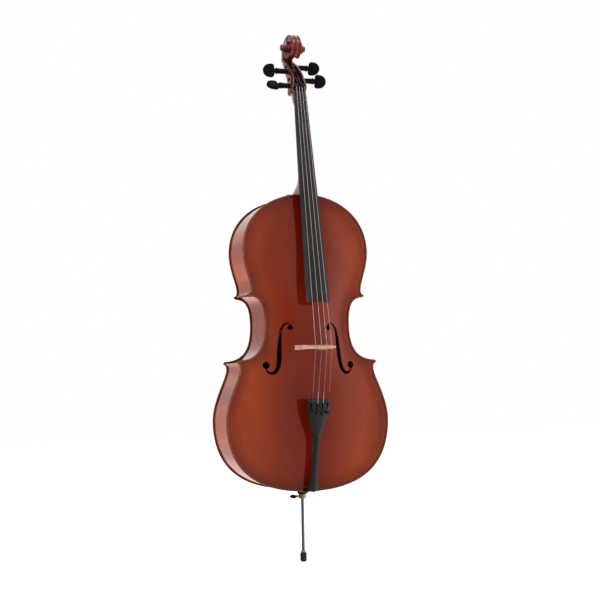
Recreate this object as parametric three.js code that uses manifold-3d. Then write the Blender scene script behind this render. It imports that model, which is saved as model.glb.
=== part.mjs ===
// Full-size cello, in millimetres. X runs from the bass side to the treble side, Y from the belly
// to the back, Z up the instrument. The origin is the middle of the endpin tip's flat bottom.
import * as THREE from 'three';
import Module from 'manifold-3d';

const wasm = await Module();
wasm.setup();

// ---- driving dimensions -------------------------------------------------------------------
const fitGap = 0.3; // clearance left between any two pieces that meet

const bodyLength = 755;
const upperBout = 340;
const waist = 229.6;
const lowerBout = 438;
const ribDepth = 111;
const ribThick = 1.6;
const edgeThick = 4.5;
const edgeOverhang = 3.5;
const plateThick = 4.8;
const bellyRise = 22.5; // arching above the plate's edge
const backRise = 20;

const liningThick = 2.4;
const liningDeep = 14;
const blockReach = 40; // end blocks, inward from the lining
const blockHalf = 44;
const cornerReach = 27;
const purflingInset = 4.2;
const purflingWide = 1.4;
const purflingDeep = 1.6;

const neckLength = 274; // belly edge to nut, along the body's axis
const neckLean = Math.atan(0.175);
const overstand = 22;
const neckDeepHeel = 17;
const neckDeepNut = 14.5;
const mortise = 8;
const heelHalfFront = 21.5;
const heelHalfBack = 15;
const buttonRadius = 15.5;

const boardLength = 556;
const boardHalfNut = 15.8;
const boardHalfEnd = 31;
const boardEdge = 6;
const boardRadius = 62;
const nutLong = 6;
const nutProud = 2.2;

const stopLength = 396; // belly edge to bridge
const bridgeTall = 91;
const bridgeFootHalf = 42.5;
const bridgeThickFoot = 12;
const bridgeThickTop = 3;
const bridgeTopRadius = 64;
const stringSpreadNut = 22.5;
const stringSpreadBridge = 43;

const tailpieceLong = 234;
const tailpieceThick = 8;
const tailpieceLean = Math.atan(0.235);
const tailpieceFoot = 4; // above the belly's lower edge
const tailpieceStand = 73; // belly-side distance of its lower end from the body's mid plane

const pinOut = 181; // tip bottom to the body's lower edge
const rodRadius = 4;
const rodLong = 470;
const tipRadius = 8.4;
const tipTall = 23;
const collarRadius = 12.5;
const collarTall = 9.5;
const ferruleRadius = 9.8;
const ferruleTall = 11.5;

const pegRadius = 6.4; // at the head end of the shaft
const pegTaper = 1.6;
const pegHeadLong = 31;
const pegHeadTall = 36;
const pegHeadThick = 13;
const pegNeckOut = 46; // from the middle of the pegbox to the collar under the head

// ---- levels along the instrument ----------------------------------------------------------
const bodyBottom = pinOut;
const bodyTop = bodyBottom + bodyLength;
const halfRib = ribDepth / 2;
const nutLevel = bodyTop + neckLength;
const bridgeLevel = bodyTop - stopLength;

// ---- small geometry helpers ---------------------------------------------------------------
const vec = (x, y, z) => new THREE.Vector3(x, y, z);
const mix = (a, b, share) => a + (b - a) * share;

function smooth(low, high, value) {
  const share = Math.min(1, Math.max(0, (value - low) / (high - low)));
  return share * share * (3 - 2 * share);
}

// A closed solid from points and triangles; points that coincide are welded.
function solidFrom(points, triangles) {
  const known = new Map();
  const packed = [];
  const welded = points.map((point) => {
    const rounded = point.toArray().map((value) => Math.round(value * 1e4) / 1e4);
    const key = rounded.join(',');
    if (!known.has(key)) {
      known.set(key, known.size);
      packed.push(...rounded);
    }
    return known.get(key);
  });
  const faces = [];
  let volume = 0;
  for (const triangle of triangles) {
    const [a, b, c] = triangle.map((corner) => welded[corner]);
    if (a === b || b === c || c === a) continue;
    faces.push(a, b, c);
    const [p, q, r] = [a, b, c].map((corner) => vec(...packed.slice(corner * 3, corner * 3 + 3)));
    volume += p.dot(q.cross(r));
  }
  if (volume < 0) faces.reverse();
  return new wasm.Manifold(new wasm.Mesh({
    numProp: 3,
    vertProperties: new Float32Array(packed),
    triVerts: new Uint32Array(faces),
  }));
}

function fromGeometry(geometry) {
  const place = geometry.getAttribute('position');
  const order = geometry.index ? [...geometry.index.array] : [...Array(place.count).keys()];
  const points = [];
  for (let i = 0; i < place.count; i += 1) points.push(vec(place.getX(i), place.getY(i), place.getZ(i)));
  const triangles = [];
  for (let i = 0; i < order.length; i += 3) triangles.push(order.slice(i, i + 3));
  return solidFrom(points, triangles);
}

// Rings with equal point counts, joined one to the next and closed by flat ends.
function loft(rings) {
  const count = rings[0].length;
  const points = rings.flat();
  const triangles = [];
  for (let r = 0; r + 1 < rings.length; r += 1) {
    for (let i = 0; i < count; i += 1) {
      const next = (i + 1) % count;
      const [a, b] = [r * count + i, r * count + next];
      const [c, d] = [a + count, b + count];
      triangles.push([a, b, d], [a, d, c]);
    }
  }
  const last = (rings.length - 1) * count;
  for (let i = 1; i + 1 < count; i += 1) {
    triangles.push([0, i + 1, i], [last, last + i, last + i + 1]);
  }
  return solidFrom(points, triangles);
}

function shapeOf(points, holes = []) {
  const shape = new THREE.Shape(points.map(([a, b]) => new THREE.Vector2(a, b)));
  for (const hole of holes) shape.holes.push(new THREE.Path(hole.map(([a, b]) => new THREE.Vector2(a, b))));
  return shape;
}

// A flat outline in the belly's plane (x, z), given depth from one y to another.
function slabY(points, from, to) {
  const geometry = new THREE.ExtrudeGeometry(shapeOf(points), { depth: to - from, bevelEnabled: false });
  geometry.rotateX(Math.PI / 2);
  geometry.translate(0, to, 0);
  return fromGeometry(geometry);
}

// The frame-shaped piece between two outlines.
function ringY(outer, inner, from, to) {
  return slabY(outer, from, to).subtract(slabY(inner, from - 1, to + 1));
}

// A flat outline in the side view (y, z), given width from one x to another.
function slabX(points, from, to) {
  const geometry = new THREE.ExtrudeGeometry(shapeOf(points), { depth: to - from, bevelEnabled: false });
  const place = geometry.getAttribute('position');
  for (let i = 0; i < place.count; i += 1) {
    place.setXYZ(i, place.getZ(i) + from, place.getX(i), place.getY(i));
  }
  return fromGeometry(geometry);
}

// A flat outline in the cross-section (x, y), given length from one z to another.
function slabZ(points, from, to, holes = []) {
  const geometry = new THREE.ExtrudeGeometry(shapeOf(points, holes), { depth: to - from, bevelEnabled: false });
  geometry.translate(0, 0, from);
  return fromGeometry(geometry);
}

function box(x0, x1, y0, y1, z0, z1) {
  return slabZ([[x0, y0], [x1, y0], [x1, y1], [x0, y1]], z0, z1);
}

// Turned work: radius and height pairs from one end of the axis to the other, along +Z.
function turned(profile, segments) {
  const points = profile.map(([radius, height]) => new THREE.Vector2(radius, height));
  const geometry = new THREE.LatheGeometry(points, segments);
  geometry.rotateX(Math.PI / 2);
  return fromGeometry(geometry);
}

// A round bar along a run of points, mitred at each bend.
function bar(path, radius, sides) {
  const rings = path.map((point, i) => {
    const before = i > 0 ? point.clone().sub(path[i - 1]).normalize() : null;
    const after = i + 1 < path.length ? path[i + 1].clone().sub(point).normalize() : null;
    const along = before && after ? before.clone().add(after).normalize() : (before || after).clone();
    const lengthen = before ? 1 / before.dot(along) : 1;
    const aside = Math.abs(along.x) > 0.8 ? vec(0, 1, 0) : vec(1, 0, 0);
    const up = aside.clone().sub(along.clone().multiplyScalar(aside.dot(along))).normalize();
    const side = along.clone().cross(up);
    return [...Array(sides).keys()].map((s) => {
      const turn = (s / sides) * 2 * Math.PI;
      const reach = radius * Math.min(lengthen, 1.3);
      return point.clone()
        .add(up.clone().multiplyScalar(Math.cos(turn) * radius))
        .add(side.clone().multiplyScalar(Math.sin(turn) * reach));
    });
  });
  return loft(rings);
}

// ---- the body's outline -------------------------------------------------------------------
function cubic(a, b, c, d, steps) {
  const curve = new THREE.CubicBezierCurve(...[a, b, c, d].map(([x, z]) => new THREE.Vector2(x, z)));
  return curve.getPoints(steps).map((point) => [point.x, point.y]);
}

const down = (share) => bodyTop - share * bodyLength;
const upperWidest = down(0.1946);
const waistLevel = down(0.44);
const lowerWidest = down(0.7635);
const upperTip = [upperBout / 2 - 11.5, down(0.3416)];
const waistStart = [upperBout / 2 - 14.5, down(0.3490)];
const waistEnd = [lowerBout / 2 - 33, down(0.5623)];
const lowerTip = [lowerBout / 2 - 29, down(0.5703)];

// The treble half of the outline, as three curves running from the top to the bottom.
function halfOutline() {
  const upper = [
    ...cubic([0, bodyTop], [upperBout * 0.267, bodyTop],
      [upperBout / 2, mix(upperWidest, bodyTop, 0.634)], [upperBout / 2, upperWidest], 7),
    ...cubic([upperBout / 2, upperWidest], [upperBout / 2, mix(upperWidest, upperTip[1], 0.47)],
      [upperTip[0] - 25, upperTip[1] + 8.3], upperTip, 5).slice(1),
  ];
  const middle = [
    ...cubic(waistStart, [waistStart[0] - 27, waistStart[1] - 1.5],
      [waist / 2, mix(waistLevel, waistStart[1], 0.8)], [waist / 2, waistLevel], 5),
    ...cubic([waist / 2, waistLevel], [waist / 2, mix(waistLevel, waistEnd[1], 0.8)],
      [waistEnd[0] - 41, waistEnd[1] + 2], waistEnd, 6).slice(1),
  ];
  const lower = [
    ...cubic(lowerTip, [lowerTip[0] - 32.4, lowerTip[1] - 9.3],
      [lowerBout / 2, mix(lowerWidest, lowerTip[1], 0.476)], [lowerBout / 2, lowerWidest], 6),
    ...cubic([lowerBout / 2, lowerWidest], [lowerBout / 2, mix(lowerWidest, bodyBottom, 0.535)],
      [lowerBout * 0.387, bodyBottom], [0, bodyBottom], 9).slice(1),
  ];
  return [upper, middle, lower];
}

function crossing(p, q, r, s) {
  const [dx, dz, ex, ez] = [q[0] - p[0], q[1] - p[1], s[0] - r[0], s[1] - r[1]];
  const size = dx * ez - dz * ex;
  if (Math.abs(size) < 1e-9) return null;
  const first = ((r[0] - p[0]) * ez - (r[1] - p[1]) * ex) / size;
  const second = ((r[0] - p[0]) * dz - (r[1] - p[1]) * dx) / size;
  const within = first >= 0 && first <= 1 && second >= 0 && second <= 1;
  return within ? [p[0] + dx * first, p[1] + dz * first] : null;
}

// Where two runs of points cross: both are cut back to the crossing.
function trimTogether(first, second) {
  for (let i = first.length - 2; i >= 0; i -= 1) {
    for (let j = 0; j + 1 < second.length; j += 1) {
      const meet = crossing(first[i], first[i + 1], second[j], second[j + 1]);
      if (meet) return [[...first.slice(0, i + 1), meet], [meet, ...second.slice(j + 1)]];
    }
  }
  return [first, second];
}

function insetCurve(points, distance) {
  return points.map((point, i) => {
    const before = points[Math.max(0, i - 1)];
    const after = points[Math.min(points.length - 1, i + 1)];
    let along = new THREE.Vector2(after[0] - before[0], after[1] - before[1]).normalize();
    if (point[0] === 0) along = new THREE.Vector2(point[1] > waistLevel ? 1 : -1, 0);
    return [point[0] + along.y * distance, point[1] - along.x * distance];
  });
}

// A curve carried straight on past its last point, so that two insets always meet at a corner.
function carriedOn(points) {
  const [end, before] = [points[points.length - 1], points[points.length - 2]];
  const size = Math.hypot(end[0] - before[0], end[1] - before[1]);
  const [stepX, stepZ] = [(end[0] - before[0]) / size, (end[1] - before[1]) / size];
  return [...points, [end[0] + stepX * cornerReach, end[1] + stepZ * cornerReach]];
}

const carriedBack = (points) => carriedOn([...points].reverse()).reverse();

// The treble half outline drawn inward by a distance, with its corners mitred.
function insetHalf(distance) {
  const [top, side, base] = halfOutline();
  const [upper, middle, lower] = [carriedOn(top), carriedOn(carriedBack(side)), carriedBack(base)]
    .map((curve) => insetCurve(curve, distance));
  const [upperCut, middleCut] = trimTogether(upper, middle);
  const [middleDone, lowerCut] = trimTogether(middleCut, lower);
  return [upperCut, middleDone, lowerCut];
}

const mirrored = (points) => points.map(([x, z]) => [-x, z]).reverse();

function wholeLoop(half) {
  const right = half.flat().filter((point, i, all) => i === 0 || point !== all[i - 1]);
  return [...right, ...mirrored(right).slice(1, -1)];
}

// ---- arching ------------------------------------------------------------------------------
const channel = 13; // flat margin between the plate's edge and the start of its arch
const archTop = bodyTop - channel;
const archBottom = bodyBottom + channel;
const archUpper = upperBout / 2 - channel; // half widths of the arched area
const archWaist = waist / 2 - channel;
const archLower = lowerBout / 2 - channel;
const archCurve = [
  ...cubic([0, archTop], [upperBout * 0.25, archTop],
    [archUpper, mix(upperWidest, archTop, 0.6)], [archUpper, upperWidest], 16),
  ...cubic([archUpper, upperWidest], [archUpper, mix(upperWidest, waistLevel, 0.45)],
    [archWaist, mix(upperWidest, waistLevel, 0.62)], [archWaist, waistLevel], 12).slice(1),
  ...cubic([archWaist, waistLevel], [archWaist, mix(waistLevel, lowerWidest, 0.38)],
    [archLower, mix(waistLevel, lowerWidest, 0.5)], [archLower, lowerWidest], 12).slice(1),
  ...cubic([archLower, lowerWidest], [archLower, mix(lowerWidest, archBottom, 0.56)],
    [lowerBout * 0.33, archBottom], [0, archBottom], 16).slice(1),
];

// Half width of the arched area at a level.
function archHalf(level) {
  for (let i = 0; i + 1 < archCurve.length; i += 1) {
    const [a, b] = [archCurve[i], archCurve[i + 1]];
    if (level <= a[1] && level >= b[1]) return mix(a[0], b[0], (a[1] - level) / (a[1] - b[1] || 1));
  }
  return 0;
}

// Height of the arch above the edge, as a share of its full rise.
function archShare(x, level) {
  const half = archHalf(level);
  if (half <= 0 || Math.abs(x) >= half) return 0;
  const across = 0.5 * (1 + Math.cos(Math.PI * (Math.abs(x) / half) ** 1.3));
  const middle = (archTop + archBottom) / 2;
  const along = Math.abs(level - middle) / ((archTop - archBottom) / 2);
  return across * 0.5 * (1 + Math.cos(Math.PI * along ** 3.5));
}

const outside = (rise) => (x, level) => edgeThick + rise * archShare(x, level);

// The inner face stays flat under the edge and where the end blocks are glued.
function inside(rise) {
  return (x, level) => {
    const nearEnd = Math.min(bodyTop - level, level - bodyBottom) < blockReach + 30;
    if (nearEnd && Math.abs(x) < blockHalf + 36) return 0;
    return Math.max(0, outside(rise)(x, level) - plateThick);
  };
}

// A plate-shaped solid between two heights above the ribs; side is -1 for the belly, 1 for the back.
function plateBetween(side, low, high) {
  const rows = halfOutline().flat();
  const shares = [1, 0.76, 0.5, 0.25];
  const columns = rows.map(([half, level]) => {
    const arch = Math.min(archHalf(level), Math.max(0, half - channel * 0.8));
    const right = [half, ...shares.map((share) => arch * share)];
    return [...right, 0, ...right.map((x) => -x).reverse()];
  });
  const wide = columns[0].length;
  const points = [];
  for (const height of [low, high]) {
    rows.forEach(([, level], r) => {
      for (const x of columns[r]) points.push(vec(x, side * (halfRib + height(x, level)), level));
    });
  }
  const layer = rows.length * wide;
  const triangles = [];
  const quad = (a, b, c, d) => triangles.push([a, b, c], [a, c, d]);
  for (let r = 0; r + 1 < rows.length; r += 1) {
    for (let c = 0; c + 1 < wide; c += 1) {
      const at = r * wide + c;
      const mirroredCut = c >= (wide - 1) / 2;
      const [a, b, d, e] = [at, at + 1, at + wide + 1, at + wide];
      if (mirroredCut) triangles.push([a, b, e], [b, d, e]);
      else triangles.push([a, b, d], [a, d, e]);
      const [f, g, h, i] = [a, b, d, e].map((corner) => corner + layer);
      if (mirroredCut) triangles.push([f, i, g], [g, i, h]);
      else triangles.push([f, h, g], [f, i, h]);
    }
    const left = r * wide;
    const right = left + wide - 1;
    quad(left, left + wide, left + wide + layer, left + layer);
    quad(right, right + layer, right + wide + layer, right + wide);
  }
  return solidFrom(points, triangles);
}

// ---- body shell ---------------------------------------------------------------------------
function purflingRing(side, loosen) {
  const outer = wholeLoop(insetHalf(purflingInset - loosen));
  const inner = wholeLoop(insetHalf(purflingInset + purflingWide + loosen));
  const face = side * (halfRib + edgeThick);
  const floor = face - side * (purflingDeep + loosen);
  const over = face + side * (loosen ? 1 : 0);
  return ringY(outer, inner, Math.min(floor, over), Math.max(floor, over));
}

// Half width of the heel at a depth between the belly and the back.
const heelHalf = (y) => mix(heelHalfFront, heelHalfBack, (y + halfRib) / ribDepth);

function heelSocket() {
  const far = halfRib + 0.05;
  const front = -halfRib - edgeThick - 30;
  const plan = [
    [-heelHalf(front) - fitGap, front], [heelHalf(front) + fitGap, front],
    [heelHalf(far) + fitGap, far], [-heelHalf(far) - fitGap, far],
  ];
  return slabZ(plan, bodyTop - mortise - fitGap, bodyTop + 60);
}

// One wing of a sound hole's outline: the centre line and its half width.
const eyeUpper = [52, stopLength - 53];
const eyeLower = [114, stopLength + 41];
const eyeUpperRadius = 7;
const eyeLowerRadius = 9;
const soundHoleHalf = 6; // at the middle of the stem
const stemX = 79.5; // the stem's middle, at the bridge's level
const nickReach = 9; // from the stem's middle to the points of its two nicks
const nickHalf = 3.5;
function soundHoleLine() {
  const steps = 17;
  const curve = new THREE.CatmullRomCurve3([
    [46.5, -53], [52, -62], [63, -63], [73, -50], [77, -30], [stemX, 0], [82, 30],
    [87, 50], [98, 61], [110, 58], [117, 46],
  ].map(([x, below]) => vec(x, 0, bridgeLevel - below)), false, 'centripetal');
  return curve.getSpacedPoints(steps).map((point, i) => {
    const share = i / steps;
    const tangent = curve.getTangentAt(share);
    const fullness = Math.sin(Math.PI * share ** 1.3) ** 1.2;
    return { point, aside: vec(tangent.z, 0, -tangent.x), half: mix(1.1, soundHoleHalf, fullness) };
  });
}

function soundHole(mirror) {
  const line = soundHoleLine();
  const edgeA = line.map(({ point, aside, half }) => [point.x + aside.x * half, point.z + aside.z * half]);
  const edgeB = line.map(({ point, aside, half }) => [point.x - aside.x * half, point.z - aside.z * half]);
  const circle = ([x, drop], radius) => [...Array(10).keys()].map((i) => {
    const turn = (i / 10) * 2 * Math.PI;
    return [x + radius * Math.cos(turn), bodyTop - drop + radius * Math.sin(turn)];
  });
  const nick = [[stemX - nickReach, bridgeLevel], [stemX, bridgeLevel + nickHalf],
    [stemX + nickReach, bridgeLevel], [stemX, bridgeLevel - nickHalf]];
  const outlines = [[...edgeA, ...edgeB.reverse()], circle(eyeUpper, eyeUpperRadius),
    circle(eyeLower, eyeLowerRadius), nick];
  let hole = null;
  for (const outline of outlines) {
    const placed = mirror ? mirrored(outline) : outline;
    const piece = slabY(placed, -halfRib - edgeThick - bellyRise - 5, -halfRib + 3);
    hole = hole ? hole.add(piece) : piece;
  }
  return hole;
}

const saddleHalf = 19;
const saddleDeep = 8;
const saddleProud = 6;

function saddleNotch() {
  return box(-saddleHalf - fitGap, saddleHalf + fitGap, -halfRib - 30, -halfRib + 3,
    bodyBottom - 5, bodyBottom + saddleDeep + fitGap);
}

// The belly's purfling stops at the neck and at the saddle, which leaves one strip on each side.
function purflingStrip() {
  return purflingRing(-1, 0).subtract(heelSocket()).subtract(saddleNotch()).trimByPlane([1, 0, 0], 0);
}

function topPlate() {
  return plateBetween(-1, inside(bellyRise), outside(bellyRise))
    .subtract(soundHole(false))
    .subtract(soundHole(true))
    .subtract(heelSocket())
    .subtract(saddleNotch())
    .subtract(purflingRing(-1, fitGap));
}

function backPlate() {
  const steps = 14;
  const rim = [...Array(steps + 1).keys()].map((i) => {
    const turn = (i / steps) * Math.PI;
    return [buttonRadius * Math.cos(turn), bodyTop + 1 + buttonRadius * Math.sin(turn)];
  });
  const button = slabY([...rim, [-buttonRadius, bodyTop - 3], [buttonRadius, bodyTop - 3]],
    halfRib, halfRib + edgeThick);
  return plateBetween(1, inside(backRise), outside(backRise))
    .add(button)
    .subtract(purflingRing(1, fitGap));
}

// Strip between two insets along one of the three curves, cut back a little at both ends.
function ribStrip(index, mirror) {
  const pull = fitGap / 2;
  const shorten = (points) => {
    const line = points.map((point) => [...point]);
    const slide = (end, next) => {
      const size = Math.hypot(next[0] - end[0], next[1] - end[1]);
      return [mix(end[0], next[0], pull / size), mix(end[1], next[1], pull / size)];
    };
    const count = line.length;
    return [slide(line[0], line[1]), ...line.slice(1, -1), slide(line[count - 1], line[count - 2])];
  };
  const outer = shorten(insetHalf(edgeOverhang)[index]);
  const inner = shorten(insetHalf(edgeOverhang + ribThick)[index]);
  const outline = [...outer, ...inner.reverse()];
  return slabY(mirror ? mirrored(outline) : outline, -halfRib + fitGap, halfRib - fitGap);
}

const plugBore = collarRadius - 2.5 + fitGap;
function plugHole() {
  return turned([[0, bodyBottom - 20], [plugBore, bodyBottom - 20], [plugBore, bodyBottom + 80],
    [0, bodyBottom + 80]], 20);
}

function rib(index, mirror) {
  let strip = ribStrip(index, mirror);
  if (index === 0) strip = strip.subtract(heelSocket());
  if (index === 2) strip = strip.subtract(plugHole());
  return strip;
}

const liningInset = edgeOverhang + ribThick + fitGap;
const blockInset = liningInset + liningThick + fitGap;
const blockFace = halfRib - fitGap;

function liningRing(side) {
  const outer = wholeLoop(insetHalf(liningInset));
  const inner = wholeLoop(insetHalf(liningInset + liningThick));
  const face = side * (halfRib - fitGap);
  const far = side * (halfRib - fitGap - liningDeep);
  return ringY(outer, inner, Math.min(face, far), Math.max(face, far)).subtract(heelSocket());
}

// A block is full depth inside the linings and reaches the ribs between them.
function blockFrom(outlineAt) {
  const waistFace = blockFace - liningDeep - fitGap;
  return slabY(outlineAt(blockInset), -blockFace, blockFace)
    .add(slabY(outlineAt(liningInset), -waistFace, waistFace));
}

function endBlock(index) {
  const outlineAt = (inset) => {
    const curve = insetHalf(inset)[index];
    const run = index === 0 ? curve : [...curve].reverse();
    const past = run.findIndex(([x]) => x > blockHalf);
    const [before, after] = [run[past - 1], run[past]];
    const edge = mix(before[1], after[1], (blockHalf - before[0]) / (after[0] - before[0]));
    const level = index === 0 ? run[0][1] - blockReach : run[0][1] + blockReach;
    const shoulder = mix(edge, level, 0.7);
    const right = [...run.slice(0, past), [blockHalf, edge], [blockHalf, shoulder], [blockHalf - 12, level]];
    return [...right, ...mirrored(right).slice(0, -1)];
  };
  const block = blockFrom(outlineAt);
  return index === 0 ? block.subtract(heelSocket()) : block.subtract(plugHole());
}

function cornerBlock(isUpper, mirror) {
  const outlineAt = (inset) => {
    const [upper, middle, lower] = insetHalf(inset);
    const first = isUpper ? upper : middle;
    const second = isUpper ? middle : lower;
    const tip = first[first.length - 1];
    const close = ([x, z]) => Math.hypot(x - tip[0], z - tip[1]) < cornerReach + inset;
    return [...first.filter(close), ...second.filter(close).slice(1)];
  };
  const block = blockFrom(outlineAt);
  return mirror ? mirrorX(block) : block;
}

const barX = -30;
const barThick = 11;
const barTall = 24;
const postX = 27;
const postRadius = 5.5;
const postBelowBridge = 14;

function bassBar() {
  const [high, low] = [down(0.115), down(0.89)];
  const middle = (high + low) / 2;
  const crown = halfRib + edgeThick + bellyRise - plateThick;
  const under = [];
  const steps = 10;
  for (let i = 0; i <= steps; i += 1) {
    const level = mix(high, low, i / steps);
    const away = Math.abs(level - middle) / (high - middle);
    const top = halfRib + inside(bellyRise)(barX, level);
    under.push([-top + mix(barTall, 7, away ** 1.6), level]);
  }
  const outline = [...under, [-crown - 4, low], [-crown - 4, high]];
  const above = plateBetween(-1, (x, level) => inside(bellyRise)(x, level) - fitGap, () => 60);
  return slabX(outline, barX - barThick / 2, barX + barThick / 2).subtract(above);
}

function soundPost() {
  const level = bridgeLevel - postBelowBridge;
  const steps = 16;
  const ring = (y) => [...Array(steps).keys()].map((i) => {
    const turn = (i / steps) * 2 * Math.PI;
    return vec(postX + postRadius * Math.cos(turn), y, level + postRadius * Math.sin(turn));
  });
  const rod = loft([ring(-halfRib - 24), ring(halfRib + 24)]);
  const front = plateBetween(-1, (x, z) => inside(bellyRise)(x, z) - fitGap, () => 60);
  const rear = plateBetween(1, (x, z) => inside(backRise)(x, z) - fitGap, () => 60);
  return rod.subtract(front).subtract(rear);
}

// ---- neck, pegbox and scroll --------------------------------------------------------------
const glueAtBody = -halfRib - edgeThick - overstand;
const lean = Math.tan(neckLean);
// The plane the fingerboard is glued to, as a depth at a level.
const gluePlane = (level) => glueAtBody + (level - bodyTop) * lean;

const boxLong = 88; // nut to the upper end of the pegbox opening
const boxStart = nutLevel + nutLong + fitGap;
const boxFoot = nutLevel - 7; // lower end of the pegbox's cheeks, beside the fingerboard
const boxCrown = nutLevel + 104; // where the pegbox runs into the back of the scroll
const eyeCentre = [11, nutLevel + 123];
const scrollOuter = 43.5;
const scrollSweep = 13; // how much further out the scroll starts, where the pegbox meets it
const scrollTurns = 2.3;
const scrollTopHalf = 10.8;
const scrollFootFlare = 3; // extra half width where it leaves the pegbox
const scrollStart = -0.5; // angle of its start about the eye, in radians
const scrollEyeHalf = 32;
const pegboxHalfNut = 20;
const cheekThick = 6.3;
const pegboxFloor = 5.5;
const chinLong = 38; // the swelling at the back of the neck, below the nut
const chinDeep = 30;

// Smooth height of a line through a few points, at a place along it.
function along(line, place) {
  const i = Math.max(0, Math.min(line.length - 2, line.findIndex(([at]) => at > place) - 1));
  const [low, high] = [line[i], line[i + 1]];
  const slope = (a, b) => (b[1] - a[1]) / (b[0] - a[0]);
  const middle = slope(low, high);
  const start = i > 0 ? (slope(line[i - 1], low) + middle) / 2 : middle;
  const end = i + 2 < line.length ? (middle + slope(high, line[i + 2])) / 2 : middle;
  const span = high[0] - low[0];
  const share = (place - low[0]) / span;
  return low[1] * (1 + 2 * share) * (1 - share) ** 2 + start * span * share * (1 - share) ** 2
    + high[1] * share ** 2 * (3 - 2 * share) + end * span * share ** 2 * (share - 1);
}

// Rise above the nut against depth, for the pegbox's back, and against half width.
const pegboxBackLine = [[-7, 6], [-4, 9], [4, 4.6], [20, 7], [42, 19.5], [72, 44], [96, 57.5], [118, 61]];
const pegboxHalfLine = [[-7, 17.6], [-3, pegboxHalfNut], [42, 18.5], [72, 16], [96, 14.3], [118, 13]];
const pegboxProud = 3; // how far the cheeks' front edges stand before the fingerboard's glue plane
const pegboxSweep = [11, 74]; // forward and backward curve of the cheeks' front edges

// Front and back depth and half width of the pegbox at a level.
function pegboxAt(level) {
  const rise = level - nutLevel;
  const share = rise / boxLong;
  const front = level < boxStart + fitGap
    ? gluePlane(level) + 0.5
    : gluePlane(nutLevel) - pegboxProud - pegboxSweep[0] * share + pegboxSweep[1] * share ** 2;
  return { front, back: along(pegboxBackLine, rise), half: along(pegboxHalfLine, rise) };
}

// A rounded section at one level: boxy towards 8, round towards 2.
function section(front, back, half, halfBack, boxy, level) {
  const count = 16;
  return [...Array(count).keys()].map((i) => {
    const turn = ((i + 0.5) / count) * 2 * Math.PI;
    const [c, s] = [Math.cos(turn), Math.sin(turn)];
    const depth = 0.5 + 0.5 * Math.sign(s) * Math.abs(s) ** (2 / boxy);
    const wide = mix(half, halfBack, Math.max(0, depth));
    return vec(Math.sign(c) * Math.abs(c) ** (2 / boxy) * wide, mix(front, back, depth), level);
  });
}

// The neck's half-round section: flat under the fingerboard, round at the back.
function neckSection(level, half, deep) {
  const front = gluePlane(level) + fitGap;
  const steps = 12;
  const ring = [];
  for (let i = 0; i <= steps; i += 1) {
    const turn = (i / steps) * Math.PI;
    ring.push(vec(half * Math.cos(turn), front + 3 + (deep - 3) * Math.sin(turn), level));
  }
  ring.push(vec(-half, front, level), vec(half, front, level));
  return ring;
}

const boardHalfAt = (level) => mix(boardHalfNut, boardHalfEnd, (nutLevel - level) / boardLength);

// The neck from the body to the pegbox, with the swelling under the nut.
function neckShaft() {
  const low = bodyTop + 6;
  const straight = [0, 0.25, 0.5, 0.75, 1].map((share) => mix(low, nutLevel - chinLong, share));
  const swelling = [0.97, 0.88, 0.74, 0.56, 0.36, 0.16].map((share) => nutLevel - chinLong * share);
  const rings = [...straight, ...swelling].map((level) => {
    const share = (level - low) / (nutLevel - low);
    const drop = Math.min(1, (nutLevel - level) / chinLong);
    const deep = mix(neckDeepHeel, neckDeepNut, share) + chinDeep * Math.sqrt(1 - drop ** 2);
    return neckSection(level, boardHalfAt(level) - 0.6, deep);
  });
  rings.push(neckSection(nutLevel + 2, boardHalfNut - 0.6, neckDeepNut + chinDeep * 0.6));
  rings.push(neckSection(boxStart + 5, boardHalfNut - 0.6, neckDeepNut));
  return loft(rings);
}

function heel() {
  const rings = [];
  const reach = 62;
  const foot = bodyTop - mortise;
  const steps = 11;
  for (let i = 0; i <= steps; i += 1) {
    const share = i / steps;
    const level = foot + (reach + mortise) * share ** 1.4;
    const climb = Math.max(0, (level - bodyTop) / reach);
    const neckBack = gluePlane(level) + neckDeepHeel;
    const back = mix(neckBack, halfRib - fitGap, (1 - Math.sqrt(1 - (1 - climb) ** 2)) ** 0.75);
    const front = gluePlane(level) + fitGap;
    const backShare = (back + halfRib) / ribDepth;
    const halfFront = mix(heelHalf(front), boardHalfAt(level) - 0.6, climb);
    const halfRear = mix(heelHalfFront, heelHalfBack, Math.max(0, Math.min(1, backShare)));
    const rear = climb > 0 ? halfRear * mix(1, 0.72, smooth(0, 0.5, climb)) : halfRear;
    rings.push([
      vec(halfFront, front, level), vec(-halfFront, front, level),
      vec(-mix(halfFront, rear, 0.8), mix(front, back, 0.75), level), vec(-rear * 0.8, back - 1, level),
      vec(-rear * 0.5, back, level), vec(rear * 0.5, back, level), vec(rear * 0.8, back - 1, level),
      vec(mix(halfFront, rear, 0.8), mix(front, back, 0.75), level),
    ]);
  }
  return loft(rings);
}

function pegboxOuter() {
  const levels = [boxFoot, boxFoot + 3, nutLevel, boxStart + fitGap / 2, boxStart + fitGap];
  for (let i = 1; i <= 9; i += 1) levels.push(mix(boxStart + fitGap, boxCrown, i / 9));
  return loft(levels.map((level) => {
    const { front, back, half } = pegboxAt(level);
    return section(front, back, half, half - 1, 7, level);
  }));
}

function pegboxCavity() {
  const rings = [];
  for (let i = 0; i <= 7; i += 1) {
    const level = mix(boxStart, nutLevel + boxLong, i / 7);
    const { front, back, half } = pegboxAt(level);
    const inner = half - cheekThick;
    const floor = back - pegboxFloor;
    rings.push([vec(-inner, front - 30, level), vec(inner, front - 30, level),
      vec(inner - 0.4, floor, level), vec(-inner + 0.4, floor, level)]);
  }
  return loft(rings);
}

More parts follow.
